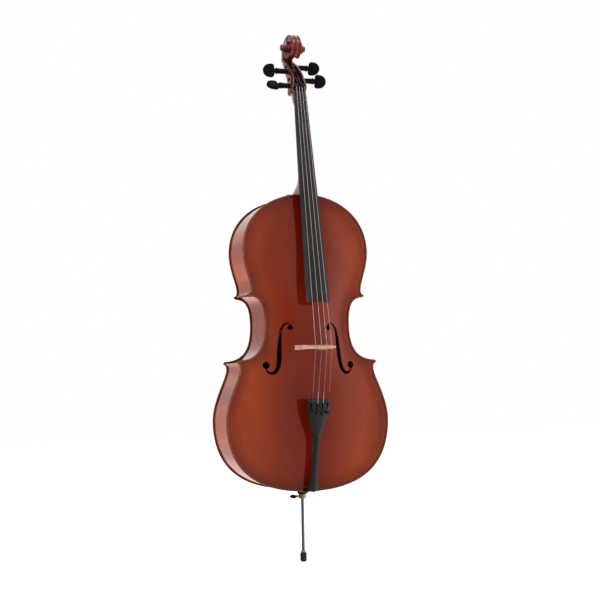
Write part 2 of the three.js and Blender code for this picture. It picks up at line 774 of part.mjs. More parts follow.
// Outer radius and half width of the volute after a number of turns, starting behind the eye.
const voluteTop = 0.33; // turns from the start to the scroll's highest point
const voluteRadius = (turns) => scrollOuter * Math.exp(-0.53 * turns) - 1.2 * turns
  + scrollSweep * Math.max(0, 1 - turns / voluteTop) ** 1.6;
const voluteHalf = (turns) => mix(scrollTopHalf, scrollEyeHalf, (turns / scrollTurns) ** 1.35)
  + scrollFootFlare * Math.max(0, 1 - turns / voluteTop);

function volute() {
  const perTurn = 10;
  const count = Math.round(scrollTurns * perTurn);
  let solid = null;
  for (let i = 0; i < count; i += 1) {
    const [near, far] = [i / perTurn, (i + 1.04) / perTurn];
    const at = (turns) => {
      const angle = turns * 2 * Math.PI + scrollStart;
      return [eyeCentre[0] + voluteRadius(turns) * Math.cos(angle),
        eyeCentre[1] + voluteRadius(turns) * Math.sin(angle)];
    };
    const opposite = (near + far) * Math.PI + scrollStart;
    const hub = [eyeCentre[0] - 1.5 * Math.cos(opposite), eyeCentre[1] - 1.5 * Math.sin(opposite)];
    const half = voluteHalf(near);
    const wedge = slabX([hub, at(near), at(far)], -half, half);
    solid = solid ? solid.add(wedge) : wedge;
  }
  return solid;
}

// ---- pegs ---------------------------------------------------------------------------------
// Side is -1 for the bass cheek, 1 for the treble cheek; string 0 is the lowest.
const pegs = [
  { name: 'c', side: -1, level: nutLevel + 14.5, string: 0, depth: 0.42, faceTurn: 52, out: pegNeckOut },
  { name: 'g', side: -1, level: nutLevel + 59.5, string: 1, depth: 0.44, faceTurn: 0, out: pegNeckOut },
  { name: 'd', side: 1, level: nutLevel + 75, string: 2, depth: 0.34, faceTurn: 28, out: pegNeckOut - 6 },
  { name: 'a', side: 1, level: nutLevel + 34, string: 3, depth: 0.5, faceTurn: 15, out: pegNeckOut },
];

function pegDepth(peg) {
  const { front, back } = pegboxAt(peg.level);
  return mix(front, back, peg.depth);
}

// Radius of a peg's shaft at a distance outward from the middle of the pegbox.
const pegRadiusAt = (out) => pegRadius + pegTaper * (out - pegboxHalfNut) / (2 * pegboxHalfNut);

// The peg is turned along +Z, then laid across the pegbox with its head to its own side.
function layPeg(solid, peg) {
  const lying = solid.rotate([0, 90 * peg.side, 0]);
  return lying.translate([0, pegDepth(peg), peg.level]);
}

function pegShaft(peg, grow) {
  const { half } = pegboxAt(peg.level);
  const [inner, outer] = [-half - (grow ? 3 : 1.5), peg.out + 2];
  return turned([[0, inner], [pegRadiusAt(inner) + grow, inner],
    [pegRadiusAt(outer) + grow, outer], [0, outer]], 12);
}

// A peg's head seen face on: distance outward from its stem against half height.
const pegHeadLine = [[0, 0.3], [0.03, 0.74], [0.12, 0.96], [0.35, 1], [0.64, 0.9], [0.88, 0.58], [1, 0]];

function pegSolid(peg) {
  const base = peg.out;
  const collar = turned([[0, base - 1], [7.4, base - 1], [8.4, base + 1.5],
    [7.4, base + 4], [5.5, base + 5], [5.5, base + 12], [0, base + 12]], 12);
  const inner = base + 7;
  const line = pegHeadLine.map(([out, half]) => [half * pegHeadTall / 2, inner + out * pegHeadLong]);
  const edge = smoothRun(line, 10);
  const face = [...edge, ...mirrored(edge).slice(1)];
  const middle = inner + pegHeadLong / 2;
  const rings = [[-0.5, 0.72], [-0.24, 1], [0.24, 1], [0.5, 0.72]].map(([depth, scale]) => {
    const lengthScale = mix(0.5, 1, scale);
    return face.map(([across, out]) => vec(across * scale, depth * pegHeadThick, mix(middle, out, lengthScale)));
  });
  const solid = pegShaft(peg, 0).add(collar).add(loft(rings).rotate([0, 0, peg.faceTurn]));
  return layPeg(solid, peg);
}

const windingThick = 1.2;
const windingX = [-6, -3.2, 3.2, 6];
const windingHalf = 3.6;
const windingOuter = (peg) => {
  const middle = windingX[peg.string] * peg.side;
  return pegRadiusAt(middle + windingHalf) + fitGap + windingThick;
};

function pegWinding(peg) {
  const middle = windingX[peg.string] * peg.side;
  const wide = windingHalf;
  const outer = windingOuter(peg);
  const inner = outer - windingThick;
  const ring = turned([[inner, middle - wide], [outer - 0.4, middle - wide], [outer, middle - wide + 0.6],
    [outer, middle + wide - 0.6], [outer - 0.4, middle + wide], [inner, middle + wide],
    [inner, middle - wide]], 12);
  return layPeg(ring, peg);
}

// ---- fingerboard, nut ---------------------------------------------------------------------
// Section of the fingerboard at a level; lift raises its top for the nut.
function boardSection(level, lift) {
  const half = boardHalfAt(level);
  const glue = gluePlane(level);
  const steps = 12;
  const sag = boardRadius - Math.sqrt(boardRadius ** 2 - half ** 2);
  const ring = [];
  for (let i = 0; i <= steps; i += 1) {
    const x = mix(-half, half, i / steps);
    const fall = boardRadius - Math.sqrt(boardRadius ** 2 - x ** 2);
    ring.push(vec(x, glue - boardEdge - sag - lift + fall, level));
  }
  ring.push(vec(half, glue, level), vec(-half, glue, level));
  return ring;
}

const boardCrown = (level) => {
  const half = boardHalfAt(level);
  return gluePlane(level) - boardEdge - (boardRadius - Math.sqrt(boardRadius ** 2 - half ** 2));
};

function fingerboard() {
  const end = nutLevel - boardLength;
  const rings = [0, 0.25, 0.5, 0.75, 1].map((share) => boardSection(mix(end, nutLevel - fitGap, share), 0));
  const hollow = [];
  for (const share of [0, 0.5, 1]) {
    const level = mix(end - 5, bodyTop - 12, share);
    const half = boardHalfAt(level) - 8;
    const rise = mix(7, 2, share);
    const ring = [];
    for (let i = 0; i <= 10; i += 1) {
      const turn = (i / 10) * Math.PI;
      ring.push(vec(-half * Math.cos(turn), gluePlane(level) - rise * Math.sin(turn), level));
    }
    ring.push(vec(half, gluePlane(level) + 4, level), vec(-half, gluePlane(level) + 4, level));
    hollow.push(ring);
  }
  return loft(rings).subtract(loft(hollow));
}

// ---- strings ------------------------------------------------------------------------------
const stringRadius = [0.85, 0.7, 0.58, 0.5];
const bridgeBase = -halfRib - edgeThick - bellyRise * archShare(0, bridgeLevel);
const bridgeCrown = bridgeBase - bridgeTall;

function spread(index, total) {
  return (index / 3 - 0.5) * total;
}

// The middle of a string from its tuner, over the bridge and the nut, to its peg's winding.
function stringPath(index) {
  const radius = stringRadius[index];
  const peg = pegs.find((one) => one.string === index);
  const bridgeX = spread(index, stringSpreadBridge);
  const bridgeFall = bridgeTopRadius - Math.sqrt(bridgeTopRadius ** 2 - bridgeX ** 2);
  const nutX = spread(index, stringSpreadNut);
  const nutFall = boardRadius - Math.sqrt(boardRadius ** 2 - nutX ** 2);
  const stringStart = tunerPivotAt + tunerHookAlong + radius + 0.5;
  const pegFront = pegDepth(peg) - windingOuter(peg) - radius - fitGap;
  return [
    tailPoint(spread(index, tunerSpread), tunerHookDepth, stringStart),
    vec(bridgeX, bridgeCrown + bridgeFall - radius * 0.3, bridgeLevel),
    vec(nutX, boardCrown(nutLevel) - nutProud + nutFall - radius * 0.3, nutLevel + nutLong + 1.6),
    vec(windingX[index], pegFront, peg.level),
  ];
}

function string(index) {
  return bar(stringPath(index), stringRadius[index], 6);
}

// Room for the four strings, cut as grooves into what they rest on.
function cutGrooves(solid) {
  let left = solid;
  for (const [i, radius] of stringRadius.entries()) {
    left = left.subtract(bar(stringPath(i), radius + fitGap, 8));
  }
  return left;
}

function nut() {
  const low = boardSection(nutLevel + fitGap, nutProud);
  const high = low.map((point) => point.clone().add(vec(0, nutLong * lean, nutLong)));
  return cutGrooves(loft([low, high]));
}

// ---- bridge and saddle --------------------------------------------------------------------
function reshape(solid, move) {
  const mesh = solid.getMesh();
  const points = [];
  for (let i = 0; i < mesh.numVert; i += 1) {
    points.push(move(...mesh.vertProperties.slice(i * 3, i * 3 + 3)));
  }
  const triangles = [];
  for (let i = 0; i < mesh.triVerts.length; i += 3) triangles.push([...mesh.triVerts.slice(i, i + 3)]);
  return solidFrom(points, triangles);
}

const mirrorX = (solid) => reshape(solid, (x, y, z) => vec(-x, y, z));

function smoothRun(points, steps) {
  const curve = new THREE.CatmullRomCurve3(points.map(([x, z]) => vec(x, 0, z)), false, 'centripetal');
  return curve.getPoints(steps).map((point) => [point.x, point.z]);
}

function bridge() {
  const side = smoothRun([[37, 7], [34.5, 20], [36, 33], [41.5, 41], [41, 48], [34, 53], [30.5, 61],
    [34, 69], [36.5, 75], [33, 81]], 14);
  const arch = [];
  for (let i = 0; i <= 8; i += 1) {
    const x = mix(31, 0, i / 8);
    arch.push([x, bridgeTall - bridgeTopRadius + Math.sqrt(bridgeTopRadius ** 2 - x ** 2)]);
  }
  const under = smoothRun([[0, 34], [12, 32.5], [22, 26], [26, 16], [26, 7]], 10);
  const foot = [[20, 4], [20, -10], [bridgeFootHalf, -10], [bridgeFootHalf, -1.5]];
  const right = [...under, ...foot, ...side, ...arch];
  const outline = [...right, ...mirrored(right).slice(1, -1)];
  const heart = smoothRun([[0, 56], [5, 62], [6.5, 69], [3.2, 72], [0, 68.5]], 8);
  const heartLoop = [...heart, ...mirrored(heart).slice(1, -1)];
  const kidneyLine = [[13, 47], [19, 43.5], [26, 46], [25, 52], [18, 55], [13, 52.5], [13, 47]];
  const kidney = smoothRun(kidneyLine, 12).slice(1);
  const kidneyLeft = kidney.map(([x, rise]) => [-x, rise]).reverse();
  const flat = slabZ(outline, 0, 1, [heartLoop, kidney, kidneyLeft]);
  const standing = reshape(flat, (x, rise, share) => {
    const thick = mix(bridgeThickFoot, bridgeThickTop, Math.min(1, Math.max(0, rise / bridgeTall)) ** 1.7);
    const tailFace = bridgeLevel - bridgeThickTop / 2 - (bridgeThickFoot - bridgeThickTop) * 0.2;
    const lower = mix(tailFace, bridgeLevel - bridgeThickTop / 2, Math.max(0, rise) / bridgeTall);
    return vec(x, bridgeBase - rise, lower + thick * share);
  });
  const belly = plateBetween(-1, () => 0, (x, z) => outside(bellyRise)(x, z) + fitGap);
  return cutGrooves(standing).subtract(belly);
}

function saddle() {
  const front = -halfRib - edgeThick - saddleProud;
  const rear = -halfRib;
  const low = bodyBottom;
  const high = bodyBottom + saddleDeep;
  return slabX([[rear, low], [rear, high], [front + 3, high], [front + 0.6, high - 1.5], [front, high - 4],
    [front, low + 1.6], [front + 1.6, low]], -saddleHalf, saddleHalf);
}

// ---- tailpiece, fine tuners and tailgut ---------------------------------------------------
const tunerSpread = 44;
const tunerPivotAt = tailpieceLong - 19;
const tunerPivotDepth = 3.6;
const tunerHookAlong = 11; // end of the lever's hook, above its pivot
const tunerHookDepth = -15.5;
const tunerScrewBack = 13;
const leverThick = 2.4;
const axleRadius = 1.2;
const screwRadius = 1.8;

// Tailpiece frame: x across, depth from its underside (minus towards the player's bow), along from
// its lower end.
function tailPlace(solid) {
  return solid.rotate([THREE.MathUtils.radToDeg(tailpieceLean), 0, 0])
    .translate([0, -tailpieceStand, bodyBottom + tailpieceFoot]);
}

function tailPoint(x, depth, along) {
  const [s, c] = [Math.sin(tailpieceLean), Math.cos(tailpieceLean)];
  return vec(x, depth * c - along * s - tailpieceStand, depth * s + along * c + bodyBottom + tailpieceFoot);
}

const tailHalf = [[0, 13], [14, 11.2], [50, 8.6], [96, 7.8], [134, 9.6], [152, 14], [171, 19.4], [188, 24.2],
  [206, 27.4], [tailpieceLong, 29]];

function tailpiece() {
  const profile = smoothRun(tailHalf.map(([along, half]) => [half, along]), 13);
  const rings = profile.map(([half, along], i) => {
    const crown = mix(2.2, 4.6, half / 29);
    const soft = i === 0 || i === profile.length - 1 ? 0.8 : 0;
    const top = tailpieceThick - crown - soft;
    const ring = [vec(half - 1.2, 0, along), vec(-half + 1.2, 0, along), vec(-half, -1.5, along)];
    for (let k = 0; k <= 6; k += 1) {
      const x = mix(-half, half, k / 6);
      ring.push(vec(x, -top - (crown + 4) * (1 - (x / half) ** 2) ** 0.8, along));
    }
    ring.push(vec(half, -1.5, along));
    return ring;
  });
  let body = loft(rings);
  for (const side of [-1, 1]) {
    const lug = box(24.8, 27.2, -1, tunerPivotDepth + 3, tunerPivotAt - 5, tunerPivotAt + 5);
    body = body.add(side > 0 ? lug : mirrorX(lug));
  }
  body = body.subtract(bar([vec(-40, tunerPivotDepth, tunerPivotAt), vec(40, tunerPivotDepth, tunerPivotAt)],
    axleRadius + fitGap, 10));
  for (let i = 0; i < 4; i += 1) {
    const x = spread(i, tunerSpread);
    const room = leverThick / 2 + fitGap + 0.2;
    body = body.subtract(box(x - room, x + room, -20, 2, tunerPivotAt - 6, tunerPivotAt + 13));
    const screwAt = tunerPivotAt - tunerScrewBack;
    body = body.subtract(bar([vec(x, -20, screwAt), vec(x, 4, screwAt)], screwRadius + fitGap, 12));
  }
  return tailPlace(body);
}

function tunerAxle() {
  const reach = 27;
  const ends = [-reach, reach].map((x) => vec(x, tunerPivotDepth, tunerPivotAt));
  return tailPlace(bar(ends, axleRadius, 10));
}

function tunerLever(index) {
  const x = spread(index, tunerSpread);
  const outline = [[-1.7, -16.5], [1.2, -16.5], [2.7, -2], [2.7, 2.4], [0, 3.4], [-8, 7.4],
    [-19.4, 11], [-20, 8.4], [-18.4, 7], [-9, 3.6], [-3.2, -1.6]];
  const placed = outline.map(([depth, along]) => [depth + tunerPivotDepth, along + tunerPivotAt]);
  const hole = bar([vec(x - 9, tunerPivotDepth, tunerPivotAt), vec(x + 9, tunerPivotDepth, tunerPivotAt)],
    axleRadius + fitGap, 10);
  return tailPlace(slabX(placed, x - leverThick / 2, x + leverThick / 2).subtract(hole));
}

const screwHeadRadius = 4.3;
const screwHeadTall = 6.5;
const screwHeadBase = [9.6, 12.6, 12.6, 9.6]; // clear of the tailpiece's rounded top
function tunerScrew(index) {
  const x = spread(index, tunerSpread);
  const base = screwHeadBase[index];
  const profile = [[0, -0.3], [screwRadius - 0.5, -0.3], [screwRadius, 0.3], [screwRadius, base],
    [screwHeadRadius - 0.7, base], [screwHeadRadius, base + 0.7],
    [screwHeadRadius, base + screwHeadTall - 0.7], [screwHeadRadius - 0.7, base + screwHeadTall],
    [0, base + screwHeadTall]];
  const upright = turned(profile, 14).rotate([90, 0, 0]);
  return tailPlace(upright.translate([x, 0, tunerPivotAt - tunerScrewBack]));
}

const gutRadius = 1.1;
const plugNeckRadius = 9.6;
const gutLevel = bodyBottom - 2.3;

function tailgut() {
  const saddleFront = -halfRib - edgeThick - saddleProud;
  const loop = plugNeckRadius + fitGap + gutRadius;
  const side = (sign) => [
    tailPoint(sign * 6.5, gutRadius + fitGap, 12),
    vec(sign * 7.6, saddleFront - gutRadius - fitGap - 0.4, bodyBottom + 3),
    vec(sign * 8.4, saddleFront - 0.6, bodyBottom - gutRadius - fitGap - 0.4),
    vec(sign * loop, -6, gutLevel),
  ];
  const round = [];
  for (let i = 0; i <= 12; i += 1) {
    const turn = (i / 12) * Math.PI;
    round.push(vec(-loop * Math.cos(turn), loop * Math.sin(turn), gutLevel));
  }
  return bar([...side(-1), ...round, ...side(1).reverse()], gutRadius, 6);
}

// ---- endpin -------------------------------------------------------------------------------
const rodBore = rodRadius + fitGap;
const plugInner = collarRadius - 2.5;
const collarLow = bodyBottom - collarTall;
const ferruleTop = collarLow - fitGap;
const ferruleLow = ferruleTop - ferruleTall;
const screwLevel = (ferruleTop + ferruleLow) / 2;

function endpinPlug() {
  return turned([[rodBore, collarLow], [collarRadius - 1, collarLow], [collarRadius, collarLow + 1],
    [collarRadius, bodyBottom - 4.6], [collarRadius - 0.8, bodyBottom - 3.8],
    [plugNeckRadius, bodyBottom - 3.8],
    [plugNeckRadius, bodyBottom - 0.6], [plugInner, bodyBottom + 0.4], [plugInner - 0.6, bodyBottom + 52],
    [rodBore, bodyBottom + 52], [rodBore, collarLow]], 20);
}

function thumbScrewHole() {
  return bar([vec(-20, 0, screwLevel), vec(0, 0, screwLevel)], 2 + fitGap, 12);
}

function endpinFerrule() {
  return turned([[rodBore, ferruleLow], [ferruleRadius - 1.2, ferruleLow], [ferruleRadius, ferruleLow + 1.2],
    [ferruleRadius, ferruleTop - 0.8], [ferruleRadius - 0.8, ferruleTop], [rodBore, ferruleTop],
    [rodBore, ferruleLow]], 20).subtract(thumbScrewHole());
}

const wingLong = 18;
const wingWide = 11;
const wingOut = 25; // from the rod's middle to the wing's middle
const wingTurn = 45;

function thumbScrew() {
  const tip = rodBore + 0.1;
  const stem = turned([[0, tip], [2, tip], [2, 12.5], [3.4, 12.5], [3.4, 17.5], [0, 17.5]], 12);
  const rings = [[-1.9, 0.86], [-1.2, 1], [1.2, 1], [1.9, 0.86]].map(([depth, scale]) => (
    [...Array(20).keys()].map((i) => {
      const turn = (i / 20) * 2 * Math.PI;
      const across = wingWide / 2 * scale * Math.sin(turn);
      return vec(across, depth, wingOut + wingLong / 2 * scale * Math.cos(turn));
    })
  ));
  return stem.add(loft(rings).rotate([0, 0, wingTurn])).rotate([0, -90, 0]).translate([0, 0, screwLevel]);
}

const tipBoreFloor = 8;
function endpinRod() {
  const [low, high] = [tipBoreFloor + fitGap, tipBoreFloor + rodLong];
  return turned([[0, low], [2.4, low], [rodRadius, low + 3], [rodRadius, 81], [rodRadius - 0.4, 81.6],
    [rodRadius - 0.4, 82.6], [rodRadius, 83.2], [rodRadius, high - 1], [rodRadius - 1, high], [0, high]], 20);
}

function rodRing() {
  return turned([[rodBore, tipTall + fitGap], [6.6, tipTall + fitGap], [7, tipTall + 1.2], [7, tipTall + 3.4],
    [6.2, tipTall + 4.3], [rodBore, tipTall + 4.3], [rodBore, tipTall + fitGap]], 20);
}

function rubberTip() {
  return turned([[0, 0], [4.6, 0], [6.6, 0.8], [tipRadius - 0.6, 2.6], [tipRadius, 5.4],
    [tipRadius, tipTall - 3], [tipRadius - 1, tipTall - 0.6], [rodBore + 1, tipTall], [rodBore, tipTall - 0.5], [rodBore, tipBoreFloor],
    [0, tipBoreFloor]], 20);
}

function neckAndScroll() {
  let solid = neckShaft().add(heel()).add(pegboxOuter()).subtract(pegboxCavity()).add(volute());
  for (const peg of pegs) solid = solid.subtract(layPeg(pegShaft(peg, fitGap), peg));
  return solid;
}

// ---- assembly -----------------------------------------------------------------------------
const finishes = {
  varnish: { color: 0x8a2c12, roughness: 0.18, metalness: 0 },
  varnishBack: { color: 0x7a2410, roughness: 0.2, metalness: 0 },
  bareSpruce: { color: 0xd9b98a, roughness: 0.8, metalness: 0 },
  ebony: { color: 0x1b1715, roughness: 0.42, metalness: 0 },
  purfling: { color: 0x1a0d08, roughness: 0.4, metalness: 0 },
  maple: { color: 0xcf9f6b, roughness: 0.55, metalness: 0 },
  composite: { color: 0x141416, roughness: 0.35, metalness: 0 },
  steel: { color: 0xa8a49e, roughness: 0.3, metalness: 1 },
  blackSteel: { color: 0x202124, roughness: 0.35, metalness: 0.8 },
  brass: { color: 0xb98a48, roughness: 0.28, metalness: 1 },
  rubber: { color: 0x101010, roughness: 0.85, metalness: 0 },
  cord: { color: 0x17171a, roughness: 0.6, metalness: 0 },
};

const cello = new THREE.Group();
cello.name = 'cello';

const flatEnough = 0.02; // how far a face may move when faces that lie flat together are joined
function place(name, solid, finish) {
  const mesh = solid.simplify(flatEnough).getMesh();
  const geometry = new THREE.BufferGeometry();
  geometry.setAttribute('position', new THREE.BufferAttribute(new Float32Array(mesh.vertProperties), 3));
  geometry.setIndex(new THREE.BufferAttribute(new Uint32Array(mesh.triVerts), 1));
  geometry.computeVertexNormals();
  const part = new THREE.Mesh(geometry, new THREE.MeshStandardMaterial(finishes[finish]));
  part.name = name;
  cello.add(part);
}

place('top_plate', topPlate(), 'varnish');
place('back_plate', backPlate(), 'varnishBack');
place('purfling_front_treble', purflingStrip(), 'purfling');
place('purfling_front_bass', mirrorX(purflingStrip()), 'purfling');
place('purfling_back', purflingRing(1, 0), 'purfling');
const boutNames = ['upper_rib', 'waist_rib', 'lower_rib'];
for (const [index, name] of boutNames.entries()) {
  place(`${name}_treble`, rib(index, false), 'varnish');
  place(`${name}_bass`, rib(index, true), 'varnish');
}
place('linings_front', liningRing(-1), 'bareSpruce');
place('linings_back', liningRing(1), 'bareSpruce');
place('top_block', endBlock(0), 'bareSpruce');
place('bottom_block', endBlock(2), 'bareSpruce');
for (const [corner, isUpper] of [['upper', true], ['lower', false]]) {
  place(`${corner}_corner_block_treble`, cornerBlock(isUpper, false), 'bareSpruce');
  place(`${corner}_corner_block_bass`, cornerBlock(isUpper, true), 'bareSpruce');
}
place('bass_bar', bassBar(), 'bareSpruce');
place('sound_post', soundPost(), 'bareSpruce');
place('neck_and_scroll', neckAndScroll(), 'varnish');
place('fingerboard', fingerboard(), 'ebony');
place('nut', nut(), 'ebony');
place('bridge', bridge(), 'maple');
place('saddle', saddle(), 'ebony');
place('tailpiece', tailpiece(), 'composite');
place('tuner_axle', tunerAxle(), 'steel');
place('tailgut', tailgut(), 'cord');
for (const [index, name] of ['c', 'g', 'd', 'a'].entries()) {
  place(`string_${name}`, string(index), 'steel');
  place(`tuner_lever_${name}`, tunerLever(index), 'blackSteel');
  place(`tuner_screw_${name}`, tunerScrew(index), 'blackSteel');
}
for (const peg of pegs) {
  place(`peg_${peg.name}`, pegSolid(peg), 'ebony');
  place(`winding_${peg.name}`, pegWinding(peg), 'steel');
}
place('endpin_plug', endpinPlug(), 'ebony');
place('endpin_ferrule', endpinFerrule(), 'brass');
place('thumb_screw', thumbScrew(), 'blackSteel');
place('endpin_rod', endpinRod(), 'steel');
place('rod_ring', rodRing(), 'brass');
place('rubber_tip', rubberTip(), 'rubber');

export default cello;
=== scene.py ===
import math

import bmesh
import bpy
import numpy as np
from mathutils import Matrix, Vector
from mathutils.geometry import tessellate_polygon


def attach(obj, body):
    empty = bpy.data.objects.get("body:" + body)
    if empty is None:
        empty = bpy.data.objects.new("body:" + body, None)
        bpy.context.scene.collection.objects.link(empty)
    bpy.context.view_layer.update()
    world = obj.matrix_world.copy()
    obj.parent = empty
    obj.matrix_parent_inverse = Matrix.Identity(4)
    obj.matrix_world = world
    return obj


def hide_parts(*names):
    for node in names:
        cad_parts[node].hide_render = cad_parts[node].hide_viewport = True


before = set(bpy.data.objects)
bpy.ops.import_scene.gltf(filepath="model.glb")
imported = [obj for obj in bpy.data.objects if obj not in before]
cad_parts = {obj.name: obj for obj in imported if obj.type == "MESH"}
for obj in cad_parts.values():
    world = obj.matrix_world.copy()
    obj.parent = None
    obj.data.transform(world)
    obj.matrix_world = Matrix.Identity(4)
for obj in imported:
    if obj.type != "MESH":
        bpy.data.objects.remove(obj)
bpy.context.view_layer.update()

MM = 0.001

# ---- sizes of the instrument, in millimetres ------------------------------------------------
PIN_OUT = 181.0
BODY_LENGTH = 755.0
UPPER_BOUT = 340.0
WAIST = 229.6
LOWER_BOUT = 438.0
RIB_DEPTH = 111.0
RIB_THICK = 1.6
EDGE_THICK = 4.5
EDGE_OVERHANG = 3.5
PLATE_THICK = 4.8
BELLY_RISE = 22.5
BACK_RISE = 20.0
CHANNEL = 13.0
NECK_LENGTH = 274.0
LEAN = 0.175
OVERSTAND = 22.0
NECK_DEEP_HEEL = 17.0
NECK_DEEP_NUT = 14.5
MORTISE = 8.0
HEEL_FRONT = 21.5
HEEL_BACK = 15.0
BUTTON_RADIUS = 15.5
BOARD_LENGTH = 556.0
BOARD_HALF_NUT = 15.8
BOARD_HALF_END = 31.0
BOARD_EDGE = 6.0
BOARD_RADIUS = 62.0
NUT_LONG = 6.0
NUT_PROUD = 2.2
STOP_LENGTH = 396.0
BRIDGE_TALL = 91.0
BRIDGE_FOOT_HALF = 42.5
BRIDGE_THICK_FOOT = 12.0
BRIDGE_THICK_TOP = 3.0
BRIDGE_TOP_RADIUS = 64.0
SPREAD_NUT = 22.5
SPREAD_BRIDGE = 43.0
TAIL_LONG = 234.0
TAIL_THICK = 8.0
TAIL_LEAN = math.atan(0.235)
TAIL_FOOT = 4.0
TAIL_STAND = 73.0
ROD_RADIUS = 4.0
TIP_TALL = 23.0
PEG_RADIUS = 6.4
PEG_TAPER = 1.6
PEG_NECK_OUT = 46.0

BODY_BOTTOM = PIN_OUT
BODY_TOP = BODY_BOTTOM + BODY_LENGTH
HALF_RIB = RIB_DEPTH / 2
NUT_LEVEL = BODY_TOP + NECK_LENGTH
BRIDGE_LEVEL = BODY_TOP - STOP_LENGTH


def mix(a, b, share):
    return a + (b - a) * share


def turns_of(count):
    """Angles spaced evenly round a circle."""
    return [2 * math.pi * k / count for k in range(count)]


def mirrored(outline):
    """The treble half of an outline carried on round its bass half."""
    return outline + [(-x, z) for x, z in outline[::-1][1:-1]]


def smooth_step(low, high, value):
    share = np.clip((value - low) / (high - low), 0, 1)
    return share * share * (3 - 2 * share)


# ---- mesh helpers ---------------------------------------------------------------------------
def new_object(name, points, faces):
    """A mesh object from points in millimetres."""
    mesh = bpy.data.meshes.new(name)
    mesh.from_pydata([tuple(float(v) * MM for v in p) for p in points], [], faces)
    mesh.update()
    piece = bpy.data.objects.new(name, mesh)
    bpy.context.scene.collection.objects.link(piece)
    return piece


def finish_piece(piece, material, body, replaced=(), sharp=None):
    """Smooth shading, a material, the body it rides on and the CAD nodes that it stands for."""
    mesh = piece.data
    mesh.materials.clear()
    mesh.materials.append(material)
    mesh.shade_smooth()
    if sharp:
        mesh.set_sharp_from_angle(angle=math.radians(sharp))
    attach(piece, body)
    if replaced:
        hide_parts(*replaced)
    return piece


def baked(piece):
    """The piece with its modifiers applied to its mesh."""
    depsgraph = bpy.context.evaluated_depsgraph_get()
    mesh = bpy.data.meshes.new_from_object(piece.evaluated_get(depsgraph))
    piece.modifiers.clear()
    old = piece.data
    piece.data = mesh
    bpy.data.meshes.remove(old)
    return piece


def outward(piece):
    """Faces turned to point outwards."""
    work = bmesh.new()
    work.from_mesh(piece.data)
    bmesh.ops.remove_doubles(work, verts=work.verts, dist=1e-7)
    bmesh.ops.dissolve_degenerate(work, edges=work.edges, dist=1e-8)
    bmesh.ops.recalc_face_normals(work, faces=work.faces)
    work.to_mesh(piece.data)
    work.free()
    return piece


def ring_mesh(name, rings, looped=False):
    """Rings with equal point counts joined one to the next, closed by flat ends or onto the first."""
    count = len(rings[0])
    points = [p for ring in rings for p in ring]
    faces = []
    for r in range(len(rings) if looped else len(rings) - 1):
        s = (r + 1) % len(rings)
        for i in range(count):
            j = (i + 1) % count
            faces.append((r * count + i, r * count + j, s * count + j, s * count + i))
    if not looped:
        last = (len(rings) - 1) * count
        faces.append(tuple(reversed(range(count))))
        faces.append(tuple(range(last, last + count)))
    return outward(new_object(name, points, faces))


def loft(name, rings):
    return ring_mesh(name, rings)


def as_is(x, y, z):
    return (x, y, z)


def turned_rings(profile, segments, place=as_is):
    """Circles about Z from (radius, height) pairs; place moves each point where it belongs."""
    return [[place(radius * math.cos(t), radius * math.sin(t), height) for t in turns_of(segments)]
            for radius, height in profile]


def lathe(name, profile, segments, place=as_is):
    """Solid turned work."""
    return loft(name, turned_rings(profile, segments, place))


def ring_lathe(name, profile, segments=64, place=as_is):
    """Turned work with a bore: the profile is a closed loop."""
    return ring_mesh(name, turned_rings(profile, segments, place), looped=True)


def tube(name, path, radius, sides=12):
    """A round bar along points, its frame carried along without twist. radius may vary per point."""
    points = [Vector(p) for p in path]
    radii = radius if isinstance(radius, (list, tuple)) else [radius] * len(points)
    rings = []
    up = Vector((1, 0, 0.01))
    for i, point in enumerate(points):
        before = (point - points[i - 1]).normalized() if i else None
        after = (points[i + 1] - point).normalized() if i + 1 < len(points) else None
        along = ((before or after) + (after or before)).normalized()
        up = (up - along * up.dot(along)).normalized()
        side = along.cross(up)
        rings.append([point + (up * math.cos(t) + side * math.sin(t)) * radii[i] for t in turns_of(sides)])
    return loft(name, rings)


def rounded_path(path, reach, steps=5):
    """The same path with each bend eased over a short reach."""
    points = [Vector(p) for p in path]
    eased = [points[0]]
    for before, corner, after in zip(points, points[1:], points[2:]):
        start = corner + (before - corner).normalized() * min(reach, (before - corner).length * 0.45)
        end = corner + (after - corner).normalized() * min(reach, (after - corner).length * 0.45)
        for k in range(steps + 1):
            t = k / steps
            eased.append(start * (1 - t) ** 2 + corner * 2 * t * (1 - t) + end * t * t)
    eased.append(points[-1])
    return eased


def bevelled(piece, width, segments=2, angle=40):
    """The piece with every edge sharper than angle rounded over."""
    tool = piece.modifiers.new("bevel", "BEVEL")
    tool.width = width * MM
    tool.segments = segments
    tool.limit_method = "ANGLE"
    tool.angle_limit = math.radians(angle)
    tool.use_clamp_overlap = True
    return baked(piece)


def combine(piece, others, operation):
    """Each other piece cut from or added to this one, and then removed."""
    for other in others:
        tool = piece.modifiers.new("combine", "BOOLEAN")
        tool.operation = operation
        tool.solver = "EXACT"
        tool.object = other
        baked(piece)
        bpy.data.objects.remove(other)
    return piece


def cut(piece, *cutters):
    return combine(piece, cutters, "DIFFERENCE")


def add(piece, *others):
    return combine(piece, others, "UNION")


def joined(name, pieces, voxel, smoothing):
    """Overlapping closed pieces made into one skin."""
    work = bmesh.new()
    for piece in pieces:
        work.from_mesh(piece.data)
        bpy.data.objects.remove(piece)
    piece = new_object(name, [], [])
    work.to_mesh(piece.data)
    work.free()
    tool = piece.modifiers.new("skin", "REMESH")
    tool.mode = "VOXEL"
    tool.voxel_size = voxel * MM
    tool.adaptivity = 0
    ease = piece.modifiers.new("ease", "SMOOTH")
    ease.factor = 0.5
    ease.iterations = smoothing
    return baked(piece)


def box_piece(name, x0, x1, y0, y1, z0, z1):
    rings = [[(x0, y0, z), (x1, y0, z), (x1, y1, z), (x0, y1, z)] for z in (z0, z1)]
    return loft(name, rings)


